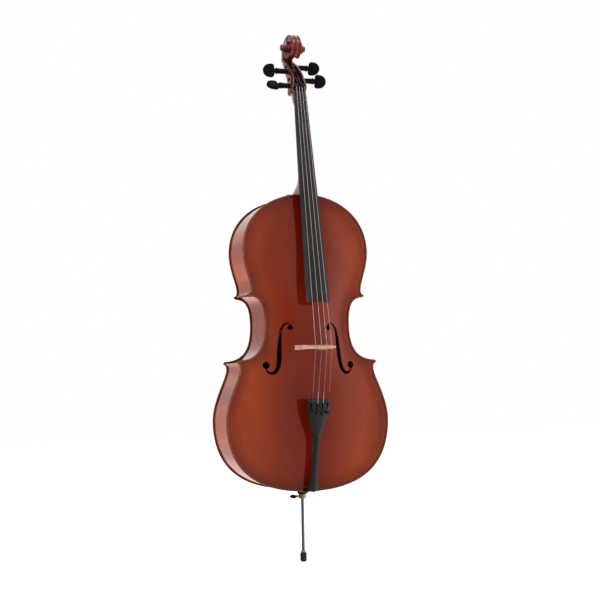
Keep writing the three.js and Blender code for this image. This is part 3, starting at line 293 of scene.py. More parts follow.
def slab_y(name, outline, y0, y1):
    """A flat board: an outline in (x, z) with its faces at two depths."""
    return loft(name, [[(x, y0, z) for x, z in outline], [(x, y1, z) for x, z in outline]])


def spline(points, steps):
    """A smooth run through points, with chord-length spacing."""
    p = np.array(points, float)
    gaps = np.r_[0, np.cumsum(np.linalg.norm(np.diff(p, axis=0), axis=1) ** 0.5)]
    slopes = np.gradient(p, gaps, axis=0)
    out = []
    for t in np.linspace(0, gaps[-1], steps):
        i = min(len(gaps) - 2, int(np.searchsorted(gaps, t, side="right")) - 1)
        span = gaps[i + 1] - gaps[i]
        s = (t - gaps[i]) / span
        a, b = p[i], p[i + 1]
        ma, mb = slopes[i] * span, slopes[i + 1] * span
        out.append((2 * s**3 - 3 * s**2 + 1) * a + (s**3 - 2 * s**2 + s) * ma
                   + (-2 * s**3 + 3 * s**2) * b + (s**3 - s**2) * mb)
    return np.array(out)


# ---- the body's outline ---------------------------------------------------------------------
def cubic(a, b, c, d, steps):
    t = np.linspace(0, 1, steps + 1)[:, None]
    a, b, c, d = (np.array(p, float) for p in (a, b, c, d))
    return (1 - t) ** 3 * a + 3 * (1 - t) ** 2 * t * b + 3 * (1 - t) * t * t * c + t**3 * d


def down(share):
    """A level given as a share of the body's length below its top."""
    return BODY_TOP - share * BODY_LENGTH


UPPER_WIDEST = down(0.1946)
WAIST_LEVEL = down(0.44)
LOWER_WIDEST = down(0.7635)
UPPER_TIP = (UPPER_BOUT / 2 - 11.5, down(0.3416))
WAIST_START = (UPPER_BOUT / 2 - 14.5, down(0.3490))
WAIST_END = (LOWER_BOUT / 2 - 33, down(0.5623))
LOWER_TIP = (LOWER_BOUT / 2 - 29, down(0.5703))


def half_outline(fine):
    """The treble half of the outline as three runs: upper bout, waist and lower bout."""
    wide, narrow, low = UPPER_BOUT / 2, WAIST / 2, LOWER_BOUT / 2
    upper = np.vstack([
        cubic((0, BODY_TOP), (UPPER_BOUT * 0.267, BODY_TOP),
              (wide, mix(UPPER_WIDEST, BODY_TOP, 0.634)), (wide, UPPER_WIDEST), 14 * fine),
        cubic((wide, UPPER_WIDEST), (wide, mix(UPPER_WIDEST, UPPER_TIP[1], 0.47)),
              (UPPER_TIP[0] - 25, UPPER_TIP[1] + 8.3), UPPER_TIP, 10 * fine)[1:],
    ])
    middle = np.vstack([
        cubic(WAIST_START, (WAIST_START[0] - 27, WAIST_START[1] - 1.5),
              (narrow, mix(WAIST_LEVEL, WAIST_START[1], 0.8)), (narrow, WAIST_LEVEL), 10 * fine),
        cubic((narrow, WAIST_LEVEL), (narrow, mix(WAIST_LEVEL, WAIST_END[1], 0.8)),
              (WAIST_END[0] - 41, WAIST_END[1] + 2), WAIST_END, 12 * fine)[1:],
    ])
    lower = np.vstack([
        cubic(LOWER_TIP, (LOWER_TIP[0] - 32.4, LOWER_TIP[1] - 9.3),
              (low, mix(LOWER_WIDEST, LOWER_TIP[1], 0.476)), (low, LOWER_WIDEST), 12 * fine),
        cubic((low, LOWER_WIDEST), (low, mix(LOWER_WIDEST, BODY_BOTTOM, 0.535)),
              (LOWER_BOUT * 0.387, BODY_BOTTOM), (0, BODY_BOTTOM), 18 * fine)[1:],
    ])
    return upper, middle, lower


FINE_HALF = np.vstack(half_outline(8))
OUTLINE_X, OUTLINE_Z = FINE_HALF[:, 0], FINE_HALF[:, 1]


def half_width(level):
    """Half the body's width at each level."""
    return np.interp(-np.asarray(level, float), -OUTLINE_Z, OUTLINE_X)


def edge_distance(x, z):
    """Distance from each point to the outline, in millimetres."""
    x, z = np.abs(np.asarray(x, float).ravel()), np.asarray(z, float).ravel()
    a = FINE_HALF[:-1]
    step = FINE_HALF[1:] - a
    length = np.maximum((step**2).sum(1), 1e-9)
    best = np.full(len(x), 1e9)
    for start in range(0, len(x), 4000):
        px, pz = x[start:start + 4000, None], z[start:start + 4000, None]
        t = np.clip(((px - a[:, 0]) * step[:, 0] + (pz - a[:, 1]) * step[:, 1]) / length, 0, 1)
        gap = (px - a[:, 0] - t * step[:, 0]) ** 2 + (pz - a[:, 1] - t * step[:, 1]) ** 2
        best[start:start + 4000] = np.sqrt(gap.min(1))
    return best


def carried(points, length):
    """A curve carried straight on past both of its ends."""
    first = points[0] + (points[0] - points[1]) / np.linalg.norm(points[0] - points[1]) * length
    last = points[-1] + (points[-1] - points[-2]) / np.linalg.norm(points[-1] - points[-2]) * length
    return np.vstack([first, points, last])


def inset_curve(points, distance):
    """A curve moved sideways, towards the middle of the body."""
    along = np.gradient(points, axis=0)
    along /= np.linalg.norm(along, axis=1)[:, None]
    return points + np.stack([along[:, 1], -along[:, 0]], 1) * distance


def meet(first, second):
    """Both runs cut back to where they cross."""
    for i in range(len(first) - 2, -1, -1):
        p, d = first[i], first[i + 1] - first[i]
        e = second[1:] - second[:-1]
        size = d[0] * e[:, 1] - d[1] * e[:, 0]
        size = np.where(np.abs(size) < 1e-12, 1e-12, size)
        gap = second[:-1] - p
        s = (gap[:, 0] * e[:, 1] - gap[:, 1] * e[:, 0]) / size
        t = (gap[:, 0] * d[1] - gap[:, 1] * d[0]) / size
        hits = np.where((s >= 0) & (s <= 1) & (t >= 0) & (t <= 1))[0]
        if len(hits):
            j = hits[0]
            point = p + d * s[j]
            return np.vstack([first[:i + 1], point]), np.vstack([point, second[j + 1:]])
    return first, second


def inset_half(distance, fine=3):
    """The half outline's three runs at a distance inside the edge, cut to where they meet."""
    upper, middle, lower = half_outline(fine)
    reach = 25
    upper = inset_curve(carried(upper, reach), distance)[1:]
    middle = inset_curve(carried(middle, reach), distance)
    lower = inset_curve(carried(lower, reach), distance)[:-1]
    upper[0] = (0, BODY_TOP - distance)
    lower[-1] = (0, BODY_BOTTOM + distance)
    upper, middle = meet(upper, middle)
    middle, lower = meet(middle, lower)
    return upper, middle, lower


# ---- arching --------------------------------------------------------------------------------
def arch_outline():
    """Half the outline of the arched area, inside the channel that runs round the edge."""
    top, bottom = BODY_TOP - CHANNEL, BODY_BOTTOM + CHANNEL
    wide, narrow, low = UPPER_BOUT / 2 - CHANNEL, WAIST / 2 - CHANNEL, LOWER_BOUT / 2 - CHANNEL
    return np.vstack([
        cubic((0, top), (UPPER_BOUT * 0.25, top),
              (wide, mix(UPPER_WIDEST, top, 0.6)), (wide, UPPER_WIDEST), 60),
        cubic((wide, UPPER_WIDEST), (wide, mix(UPPER_WIDEST, WAIST_LEVEL, 0.45)),
              (narrow, mix(UPPER_WIDEST, WAIST_LEVEL, 0.62)), (narrow, WAIST_LEVEL), 50)[1:],
        cubic((narrow, WAIST_LEVEL), (narrow, mix(WAIST_LEVEL, LOWER_WIDEST, 0.38)),
              (low, mix(WAIST_LEVEL, LOWER_WIDEST, 0.5)), (low, LOWER_WIDEST), 50)[1:],
        cubic((low, LOWER_WIDEST), (low, mix(LOWER_WIDEST, bottom, 0.56)),
              (LOWER_BOUT * 0.33, bottom), (0, bottom), 60)[1:],
    ])


ARCH = arch_outline()


def arch_share(x, level):
    """How far the arching has risen: 1 along the middle, 0 at the channel."""
    x, level = np.asarray(x, float), np.asarray(level, float)
    half = np.interp(-level, -ARCH[:, 1], ARCH[:, 0], left=0, right=0)
    share = np.clip(np.abs(x) / np.maximum(half, 1e-6), 0, 1)
    across = 0.5 * (1 + np.cos(np.pi * share**1.3))
    middle = (ARCH[0, 1] + ARCH[-1, 1]) / 2
    along = np.clip(np.abs(level - middle) / ((ARCH[0, 1] - ARCH[-1, 1]) / 2), 0, 1)
    return np.where(half > 0, across, 0) * 0.5 * (1 + np.cos(np.pi * along**3.5))


BEAD_ROUND = 1.9
SCOOP_START, SCOOP_END, SCOOP_DEEP = 2.4, 15.0, 1.15


def surface_height(x, level, rise, distance):
    """Height of a plate's outer face above the ribs, with its rounded edge and scooped channel."""
    rounding = -1.7 * np.clip(1 - distance / BEAD_ROUND, 0, 1) ** 2
    along = np.clip((distance - SCOOP_START) / (SCOOP_END - SCOOP_START), 0, 1)
    scoop = -SCOOP_DEEP * np.sin(np.pi * along**0.8) ** 2
    return EDGE_THICK + rounding + scoop + rise * arch_share(x, level)


def plate_levels():
    """Levels for a plate's rows: close together at both ends and at the corners."""
    corners = (UPPER_TIP[1], WAIST_START[1], WAIST_END[1], LOWER_TIP[1])
    levels = [BODY_TOP]
    level = BODY_TOP - 0.05
    while level > BODY_BOTTOM + 0.05:
        levels.append(level)
        end = min(BODY_TOP - level, level - BODY_BOTTOM)
        corner = min(abs(level - c) for c in corners)
        level -= min(3.4, 0.05 + 0.16 * end, 0.5 + 0.07 * corner)
    levels += [BODY_BOTTOM + 0.04, BODY_BOTTOM]
    return np.array(sorted(set(levels + list(corners)), reverse=True))


def plate(name, side, rise):
    """A closed plate: fine outer face, plain inner face, joined around the outline."""
    levels = plate_levels()
    half = half_width(levels)
    edge_steps = np.array([0, 0.35, 0.8, 1.3, 1.9, 2.6, 3.4, 4.4, 5.6, 7, 8.6, 10.4, 12.6, 15.5])
    columns = []
    for w in half:
        near = w - edge_steps * min(1, w / 26)
        inner = np.linspace(near[-1], 0, 18)[1:]
        right = np.r_[near, inner]
        columns.append(np.r_[right, -right[:-1][::-1]])
    x = np.array(columns)
    z = np.repeat(levels[:, None], x.shape[1], 1)
    distance = edge_distance(x, z).reshape(x.shape)
    outer = surface_height(x, z, rise, distance)
    near_end = np.minimum(BODY_TOP - z, z - BODY_BOTTOM) < 70
    inner = np.maximum(0, EDGE_THICK + rise * arch_share(x, z) - PLATE_THICK)
    inner = np.where(near_end & (np.abs(x) < 80), 0, inner) + 0.9 * np.clip(1 - distance / 1.2, 0, 1) ** 2
    rows, wide = x.shape
    points = []
    for height in (outer, inner):
        layer = np.stack([x, side * (HALF_RIB + height), z], -1)
        points += layer.reshape(-1, 3).tolist()
    size = rows * wide
    faces = []
    for r in range(rows - 1):
        for c in range(wide - 1):
            a = r * wide + c
            faces.append((a, a + 1, a + wide + 1, a + wide))
            faces.append((a + size, a + size + wide, a + size + wide + 1, a + size + 1))
        for c in (0, wide - 1):
            a = r * wide + c
            wall = (a, a + wide, a + wide + size, a + size)
            faces.append(wall if c == 0 else wall[::-1])
    return outward(new_object(name, points, faces))


# ---- sound holes ----------------------------------------------------------------------------
def sound_hole_cutters(mirror):
    """The f-shaped hole: a swelling stroke, a round eye at each end and the two nicks."""
    sign = -1 if mirror else 1
    line = spline([(46.5, 53), (52, 62), (63, 63), (73, 50), (77, 30), (79.5, 0), (82, -30),
                   (87, -50), (98, -61), (110, -58), (117, -46)], 90)
    along = np.gradient(line, axis=0)
    along /= np.linalg.norm(along, axis=1)[:, None]
    aside = np.stack([along[:, 1], -along[:, 0]], 1)
    share = np.linspace(0, 1, len(line))
    half = mix(1.1, 6.0, np.sin(np.pi * share**1.3) ** 1.2)[:, None]
    outline = np.vstack([line + aside * half, (line - aside * half)[::-1]])

    def ring(cx, cz, radius):
        turn = np.linspace(0, 2 * np.pi, 40, endpoint=False)
        return np.stack([cx + radius * np.cos(turn), cz + radius * np.sin(turn)], 1)

    nick = np.array([(70.9, 0), (79.5, 3.2), (88.1, 0), (79.5, -3.2)])
    outlines = [outline, ring(52, 53, 7), ring(114, -41, 9), nick]
    cutters = []
    for k, shape in enumerate(outlines):
        placed = [(sign * px, BRIDGE_LEVEL + pz) for px, pz in shape]
        cutters.append(slab_y(f"hole_cutter_{k}", placed, -HALF_RIB - 32, -HALF_RIB + 2))
    return cutters


# ---- materials ------------------------------------------------------------------------------
class Look:
    """A Principled material with short helpers for its texture nodes."""

    def __init__(self, name, **values):
        self.material = bpy.data.materials.new(name)
        self.material.use_nodes = True
        self.tree = self.material.node_tree
        self.shader = self.tree.nodes["Principled BSDF"]
        self.set(**values)
        self.place = self.tree.nodes.new("ShaderNodeTexCoord").outputs["Object"]

    def set(self, **values):
        for key, value in values.items():
            self.shader.inputs[key.replace("_", " ")].default_value = value

    def node(self, kind, inputs=(), **settings):
        made = self.tree.nodes.new("ShaderNode" + kind)
        for key, value in settings.items():
            setattr(made, key, value)
        for key, value in dict(inputs).items():
            socket = made.inputs[key]
            if isinstance(value, bpy.types.NodeSocket):
                self.tree.links.new(value, socket)
            else:
                socket.default_value = value
        return made

    def link(self, source, name):
        self.tree.links.new(source, self.shader.inputs[name])

    def stretched(self, scale):
        made = self.node("Mapping", {"Vector": self.place, "Scale": scale})
        return made.outputs["Vector"]

    def noise(self, vector, scale, detail=3.0, roughness=0.55, distortion=0.0):
        made = self.node("TexNoise", {"Vector": vector, "Scale": scale, "Detail": detail,
                                      "Roughness": roughness, "Distortion": distortion})
        return made.outputs["Fac"]

    def bands(self, vector, scale, distortion=1.0, detail=2.0, detail_scale=1.0, direction="X"):
        made = self.node("TexWave", {"Vector": vector, "Scale": scale, "Distortion": distortion,
                                     "Detail": detail, "Detail Scale": detail_scale},
                         wave_type="BANDS", bands_direction=direction)
        return made.outputs["Fac"]

    def ramp(self, factor, stops):
        made = self.node("ValToRGB", {"Fac": factor})
        elements = made.color_ramp.elements
        while len(elements) < len(stops):
            elements.new(0.5)
        for element, (position, colour) in zip(elements, stops):
            element.position = position
            element.color = (*colour, 1) if len(colour) == 3 else colour
        return made.outputs["Color"]

    def blend(self, factor, first, second, mode="MIX"):
        made = self.node("Mix", data_type="RGBA", blend_type=mode)
        for index, value in ((0, factor), (6, first), (7, second)):
            socket = made.inputs[index]
            if isinstance(value, bpy.types.NodeSocket):
                self.tree.links.new(value, socket)
            else:
                socket.default_value = (*value, 1) if isinstance(value, tuple) and len(value) == 3 else value
        return made.outputs[2]

    def maths(self, operation, first, second=0.0):
        return self.node("Math", {0: first, 1: second}, operation=operation).outputs[0]

    def remap(self, value, low, high, to_low=0.0, to_high=1.0):
        made = self.node("MapRange", {"Value": value, "From Min": low, "From Max": high,
                                      "To Min": to_low, "To Max": to_high})
        return made.outputs["Result"]

    def attribute(self, name):
        return self.node("Attribute", attribute_name=name).outputs["Fac"]

    def bump(self, height, strength, distance):
        made = self.node("Bump", {"Height": height, "Strength": strength, "Distance": distance})
        self.link(made.outputs["Normal"], "Normal")


# Glossy varnish: a red-tinted inner sheen under a thin clear coat.
VARNISH = dict(Roughness=0.07, IOR=1.9, Specular_Tint=(1, 0.38, 0.26, 1),
               Coat_Weight=0.28, Coat_Roughness=0.03, Coat_IOR=1.5)


def belly_look():
    look = Look("varnished_spruce", **VARNISH)
    rings = look.bands(look.stretched((1, 0.2, 0.05)), 150, 2.2, 3, 6)
    fibres = look.noise(look.stretched((1, 0.3, 0.015)), 900, 4, 0.6)
    clouds = look.noise(look.stretched((1, 1, 0.45)), 7, 3, 0.5, 0.4)
    warm = look.ramp(clouds, [(0.34, (0.165, 0.017, 0.003)), (0.52, (0.225, 0.028, 0.004)),
                              (0.68, (0.28, 0.042, 0.005))])
    # Painted shade: the reds darken towards the middle strip (full within 30 mm of the centre line, easing
    # out to 160 mm), standing in for the shade and dark reflection of the fingerboard and tailpiece.
    deep = look.ramp(clouds, [(0.34, (0.105, 0.005, 0.002)), (0.68, (0.16, 0.009, 0.0025))])
    across = look.maths("ABSOLUTE", look.node("SeparateXYZ", {"Vector": look.place}).outputs["X"])
    base = look.blend(look.remap(across, 0.03, 0.16), deep, warm)
    grain = look.ramp(rings, [(0.0, (0.72, 0.6, 0.5)), (0.4, (1, 1, 1)), (1.0, (1.06, 1.1, 1.1))])
    coloured = look.blend(0.5, base, grain, "MULTIPLY")
    streaks = look.ramp(fibres, [(0.3, (0.78, 0.7, 0.66)), (0.6, (1.05, 1.06, 1.06))])
    coloured = look.blend(0.55, coloured, streaks, "MULTIPLY")
    # Painted highlight and sunburst: the outermost 2 mm of the edge is lifted to a paler salmon as a painted
    # highlight on the bead; a dark band about 4.5 mm in follows the purfling, and the rim darkens out to
    # about 36 mm as a sunburst.
    edge = look.attribute("edge_mm")
    painted_edge_highlight_and_sunburst = look.ramp(look.remap(edge, 0, 60), [(0.0, (1.3, 2.0, 2.4)), (0.035, (0.8, 0.8, 0.8)),
                                                (0.075, (0.3, 0.2, 0.2)), (0.2, (0.55, 0.45, 0.45)),
                                                (0.6, (1, 1, 1))])
    coloured = look.blend(0.8, coloured, painted_edge_highlight_and_sunburst, "MULTIPLY")
    look.link(coloured, "Base Color")
    look.bump(fibres, 0.04, 0.0002)
    return look.material


def maple_look(name, flame_vector, flame_scale, dark=1.0, direction="X", rim=False):
    """Flamed maple under the same varnish: bands of flame across a fine grain."""
    look = Look(name, **VARNISH)
    vector = flame_vector(look)
    flame = look.bands(vector, flame_scale, 3.5, 2.5, 1.6, direction)
    fine = look.noise(look.stretched((1, 1, 0.06)), 700, 3, 0.6)
    clouds = look.noise(look.place, 9, 2)
    base = look.ramp(flame, [(0.15, (0.24 * dark, 0.016 * dark, 0.004)),
                             (0.55, (0.34 * dark, 0.038 * dark, 0.006)),
                             (0.9, (0.44 * dark, 0.068 * dark, 0.010))])
    cloud_tint = look.ramp(clouds, [(0.35, (0.6, 0.5, 0.5)), (0.65, (1.1, 1.15, 1.1))])
    base = look.blend(0.35, base, cloud_tint, "MULTIPLY")
    fine_tint = look.ramp(fine, [(0.3, (0.75, 0.7, 0.7)), (0.65, (1.05, 1.05, 1.05))])
    base = look.blend(0.4, base, fine_tint, "MULTIPLY")
    # Painted shade: with rim set, the back plate's outer 9 mm is darkened, nearly black at the outline,
    # standing in for the shadow on the back's edge.
    if rim:
        edge = look.remap(look.attribute("edge_mm"), 0, 9)
        painted_rim_shade = look.ramp(edge, [(0.0, (0.1, 0.08, 0.08)), (0.5, (0.2, 0.15, 0.15)), (1.0, (1, 1, 1))])
        base = look.blend(1.0, base, painted_rim_shade, "MULTIPLY")
    look.link(base, "Base Color")
    look.bump(fine, 0.03, 0.0002)
    return look.material


def bare_wood_look():
    look = Look("bare_spruce", Roughness=0.75)
    fibres = look.noise(look.stretched((1, 1, 0.03)), 600, 4)
    look.link(look.ramp(fibres, [(0.3, (0.42, 0.27, 0.14)), (0.7, (0.62, 0.44, 0.26))]), "Base Color")
    look.bump(fibres, 0.2, 0.0003)
    return look.material


def ebony_look(name, roughness, lift, sheen):
    look = Look(name, Roughness=roughness, Specular_IOR_Level=sheen)
    pores = look.noise(look.stretched((1, 1, 0.03)), 1400, 3, 0.7)
    clouds = look.noise(look.stretched((1, 1, 0.2)), 30, 2)
    base = look.ramp(clouds, [(0.3, (0.010 * lift, 0.009 * lift, 0.0085 * lift)),
                              (0.7, (0.020 * lift, 0.016 * lift, 0.014 * lift))])
    look.link(base, "Base Color")
    spread = look.remap(pores, 0.3, 0.75, roughness - 0.06, roughness + 0.12)
    look.link(spread, "Roughness")
    look.bump(pores, 0.12, 0.0002)
    return look.material


def bridge_look():
    look = Look("bridge_maple", Roughness=0.5, Specular_IOR_Level=0.4)
    flecks = look.noise(look.stretched((1, 3.2, 1)), 420, 3, 0.6)
    rays = look.bands(look.stretched((1, 1, 1)), 90, 2, 2, 4, "Y")
    base = look.ramp(flecks, [(0.35, (0.48, 0.26, 0.16)), (0.55, (0.60, 0.36, 0.24)),
                              (0.7, (0.66, 0.43, 0.30))])
    ray_tint = look.ramp(rays, [(0, (0.8, 0.72, 0.66)), (1, (1.05, 1.05, 1.02))])
    base = look.blend(0.25, base, ray_tint, "MULTIPLY")
    look.link(base, "Base Color")
    look.bump(flecks, 0.1, 0.0002)
    return look.material


def moulded_look():
    look = Look("moulded_black", Roughness=0.24, Specular_IOR_Level=0.3)
    haze = look.noise(look.place, 60, 3)
    fine = look.noise(look.place, 1800, 2)
    look.link(look.ramp(haze, [(0.3, (0.010, 0.010, 0.011)), (0.7, (0.016, 0.016, 0.017))]), "Base Color")
    look.link(look.remap(haze, 0.3, 0.7, 0.2, 0.3), "Roughness")
    look.bump(fine, 0.03, 0.0001)
    return look.material


def metal_look(name, colour, roughness, brushed=(1, 1, 1), scratch=0.06):
    look = Look(name, Metallic=1.0, Roughness=roughness)
    lines = look.noise(look.stretched(brushed), 900, 3, 0.6)
    stain = look.noise(look.place, 40, 3)
    low = tuple(c * 0.78 for c in colour)
    look.link(look.ramp(stain, [(0.3, low), (0.65, colour)]), "Base Color")
    look.link(look.remap(lines, 0.3, 0.7, max(0.05, roughness - 0.08), roughness + 0.1), "Roughness")
    look.bump(lines, scratch, 0.0001)
    return look.material


def string_look(name, colour):
    look = Look(name, Metallic=1.0, Roughness=0.32)
    turns = look.bands(look.place, 700, 0, 0, 1, "Z")
    low = tuple(c * 0.6 for c in colour)
    look.link(look.ramp(turns, [(0.0, low), (0.4, colour)]), "Base Color")
    look.bump(turns, 0.3, 0.0001)
    return look.material


def thread_look(name, colour):
    look = Look(name, Roughness=0.6, Sheen_Weight=0.3)
    turns = look.bands(look.place, 500, 0.3, 1, 1, "Z")
    look.link(look.ramp(turns, [(0.0, tuple(c * 0.45 for c in colour)), (0.6, colour)]), "Base Color")
    look.bump(turns, 0.5, 0.0002)
    return look.material


def rubber_look():
    look = Look("black_rubber", Roughness=0.7, Specular_IOR_Level=0.35)
    dust = look.noise(look.place, 220, 4, 0.7)
    wear = look.noise(look.place, 45, 3)
    look.link(look.ramp(wear, [(0.35, (0.009, 0.009, 0.009)), (0.7, (0.02, 0.019, 0.018))]), "Base Color")
    look.link(look.remap(dust, 0.3, 0.7, 0.55, 0.85), "Roughness")
    look.bump(dust, 0.25, 0.0003)
    return look.material


def purfling_look():
    look = Look("purfling_line", Roughness=0.3, Coat_Weight=1.0, Coat_Roughness=0.04)
    fibres = look.noise(look.stretched((1, 1, 0.1)), 500, 2)
    look.link(look.ramp(fibres, [(0.3, (0.012, 0.0015, 0.0008)), (0.7, (0.03, 0.004, 0.0015))]), "Base Color")
    return look.material


# ---- body pieces ----------------------------------------------------------------------------
def mesh_points(mesh):
    """The mesh's points, in metres, as rows."""
    points = np.empty(len(mesh.vertices) * 3, np.float32)
    mesh.vertices.foreach_get("co", points)
    return points.reshape(-1, 3)


def keep_edge_distance(piece):
    """Stores each point's distance from the outline, which the varnish uses for the belly's painted edge
    highlight, purfling band and sunburst rim and for painted shade along the back's rim.
    """
    points = mesh_points(piece.data) / MM
    distance = edge_distance(points[:, 0], points[:, 2]).astype(np.float32)
    layer = piece.data.attributes.new("edge_mm", "FLOAT", "POINT")
    layer.data.foreach_set("value", distance)


def smooth_face_normals(piece, side, rise):
    """Sets the outer face's normals from the arching formula, so reflections run clean over it."""
    mesh = piece.data
    points = mesh_points(mesh).astype(float) / MM
    x, z = points[:, 0], points[:, 2]
    distance = edge_distance(x, z)
    height = surface_height(x, z, rise, distance)
    on_face = np.abs(side * points[:, 1] - HALF_RIB - height) < 0.06
    step = 0.4

    def height_at(px, pz):
        return surface_height(px, pz, rise, edge_distance(px, pz))

    slope_x = (height_at(x + step, z) - height_at(x - step, z)) / (2 * step)
    slope_z = (height_at(x, z + step) - height_at(x, z - step)) / (2 * step)
    normals = np.stack([-slope_x, np.full(len(points), float(side)), -slope_z], 1)
    normals /= np.linalg.norm(normals, axis=1)[:, None]
    loops = np.empty(len(mesh.loops), np.int32)
    mesh.loops.foreach_get("vertex_index", loops)
    poly_of_loop = np.repeat(np.arange(len(mesh.polygons)), [p.loop_total for p in mesh.polygons])
    face_normals = np.array([p.normal for p in mesh.polygons])
    own = np.array([tuple(n.vector) for n in mesh.corner_normals])
    facing = face_normals[poly_of_loop][:, 1] * side > 0.15
    use = facing & on_face[loops] & (distance[loops] > 0.5)
    own[use] = normals[loops[use]]
    mesh.normals_split_custom_set(own.tolist())


def heel_half(y):
    """Half the width of the neck's heel, which narrows towards the back."""
    return mix(HEEL_FRONT, HEEL_BACK, (y + HALF_RIB) / RIB_DEPTH)


def heel_cutter():
    far, front = HALF_RIB + 0.05, -HALF_RIB - EDGE_THICK - 30
    near_half, far_half = heel_half(front) + 0.15, heel_half(far) + 0.15
    low, high = BODY_TOP - MORTISE - 0.2, BODY_TOP + 60
    rings = [[(-near_half, front, z), (near_half, front, z), (far_half, far, z), (-far_half, far, z)]
             for z in (low, high)]
    return loft("heel_cutter", rings)


SADDLE_HALF, SADDLE_DEEP, SADDLE_PROUD = 19.0, 8.0, 6.0


def belly(material):
    """The front plate with its sound holes and its cuts for the heel and the saddle."""
    piece = plate("belly", -1, BELLY_RISE)
    cutters = sound_hole_cutters(False) + sound_hole_cutters(True)
    cutters.append(heel_cutter())
    half, low, high = SADDLE_HALF + 0.2, BODY_BOTTOM - 5, BODY_BOTTOM + SADDLE_DEEP + 0.2
    cutters.append(box_piece("saddle_cutter", -half, half, -HALF_RIB - 30, -HALF_RIB + 3, low, high))
    cut(piece, *cutters)
    keep_edge_distance(piece)
    finish_piece(piece, material, "instrument", ["top_plate"], 35)
    smooth_face_normals(piece, -1, BELLY_RISE)
    return piece


def back(material):
    """The back plate with the round button that the heel is glued to."""
    piece = plate("back", 1, BACK_RISE)
    turns = [math.pi * k / 32 for k in range(33)]
    rim = [(BUTTON_RADIUS * math.cos(t), BODY_TOP + 1 + BUTTON_RADIUS * math.sin(t)) for t in turns]
    outline = rim + [(-BUTTON_RADIUS, BODY_TOP - 3), (BUTTON_RADIUS, BODY_TOP - 3)]
    button = slab_y("button", outline, HALF_RIB + 0.1, HALF_RIB + EDGE_THICK - 0.2)
    add(piece, bevelled(button, 0.9, 3))
    keep_edge_distance(piece)
    finish_piece(piece, material, "instrument", ["back_plate"], 35)
    smooth_face_normals(piece, 1, BACK_RISE)
    return piece


def rib(name, index, mirror, material):
    """One bent side strip, which follows the outline a little inside the plates' edges."""
    pull = 0.15
    outer = inset_half(EDGE_OVERHANG)[index]
    inner = inset_half(EDGE_OVERHANG + RIB_THICK)[index]
    for line in (outer, inner):
        line[0] = line[0] + (line[1] - line[0]) / np.linalg.norm(line[1] - line[0]) * pull
        line[-1] = line[-1] + (line[-2] - line[-1]) / np.linalg.norm(line[-2] - line[-1]) * pull
    outline = np.vstack([outer, inner[::-1]])
    if mirror:
        outline = outline * [-1, 1]
    piece = slab_y(name, [tuple(p) for p in outline], -HALF_RIB + 0.3, HALF_RIB - 0.3)
    if index == 0:
        cut(piece, heel_cutter())
    if index == 2:
        bore = 10.3
        cut(piece, lathe("plug_cutter", [(bore, BODY_BOTTOM - 20), (bore, BODY_BOTTOM + 80)], 48))
    side = "bass" if mirror else "treble"
    node = f"{('upper_rib', 'waist_rib', 'lower_rib')[index]}_{side}"
    return finish_piece(piece, material, "instrument", [node], 30)


PURFLING_OUTER, PURFLING_INNER = 4.2, 5.6
PURFLING_PROUD, PURFLING_DEEP = 0.03, 1.2


def lengths_along(line):
    """The distance run at each point of a line."""
    return np.r_[0, np.cumsum(np.linalg.norm(np.diff(line, axis=0), axis=1))]


def purfling_edge(inset, steps=560):
    """One edge of the inlay down the treble half, as evenly spaced points."""
    upper, middle, lower = inset_half(inset)
    line = np.vstack([upper, middle[1:], lower[1:]])
    length = lengths_along(line)
    even = np.linspace(0, length[-1], steps)
    return np.stack([np.interp(even, length, line[:, 0]), np.interp(even, length, line[:, 1])], 1)


def purfling(name, side, signs, node, material):
    """The dark inlay: a thin ribbon sunk a little into the plate's face."""
    outer, inner = purfling_edge(PURFLING_OUTER), purfling_edge(PURFLING_INNER)
    rise = BELLY_RISE if side < 0 else BACK_RISE
    if side < 0:
        keep = ((outer[:, 0] > heel_half(-HALF_RIB) + 1.2) | (outer[:, 1] < BODY_TOP - 100))
        keep &= (outer[:, 0] > SADDLE_HALF + 0.6) | (outer[:, 1] > BODY_BOTTOM + 100)
        outer, inner = outer[keep], inner[keep]
    points, faces = [], []
    for sign in signs:
        rings = []
        for a, b in zip(outer, inner):
            (ax, az), (bx, bz) = a, b
            distance = edge_distance([ax, bx], [az, bz])
            height = surface_height(np.array([ax, bx]), np.array([az, bz]), rise, distance)
            outer_top, inner_top = HALF_RIB + height + PURFLING_PROUD
            rings.append([(sign * ax, side * outer_top, az), (sign * bx, side * inner_top, bz),
                          (sign * bx, side * (inner_top - PURFLING_DEEP), bz),
                          (sign * ax, side * (outer_top - PURFLING_DEEP), az)])
        base = len(points)
        points += [p for ring in rings for p in ring]
        for r in range(len(rings) - 1):
            for i in range(4):
                j = (i + 1) % 4
                faces.append(tuple(base + k for k in (r * 4 + i, r * 4 + j, r * 4 + 4 + j, r * 4 + 4 + i)))
        end = base + (len(rings) - 1) * 4
        faces.append((base + 3, base + 2, base + 1, base))
        faces.append((end, end + 1, end + 2, end + 3))
    piece = outward(new_object(name, points, faces))
    return finish_piece(piece, material, "instrument", [node], 40)


# ---- neck and scroll ------------------------------------------------------------------------
GLUE_AT_BODY = -HALF_RIB - EDGE_THICK - OVERSTAND
BOX_LONG = 88.0
BOX_START = NUT_LEVEL + NUT_LONG + 0.3
BOX_FOOT = NUT_LEVEL - 7
BOX_CROWN = NUT_LEVEL + 104
CHEEK_THICK = 6.3
PEGBOX_FLOOR = 5.5
EYE = (11.0, NUT_LEVEL + 123)
SCROLL_OUTER = 43.5
SCROLL_SWEEP = 13.0
SCROLL_TURNS = 2.3
SCROLL_TOP = 0.33
CHIN_LONG = 38.0
CHIN_DEEP = 30.0
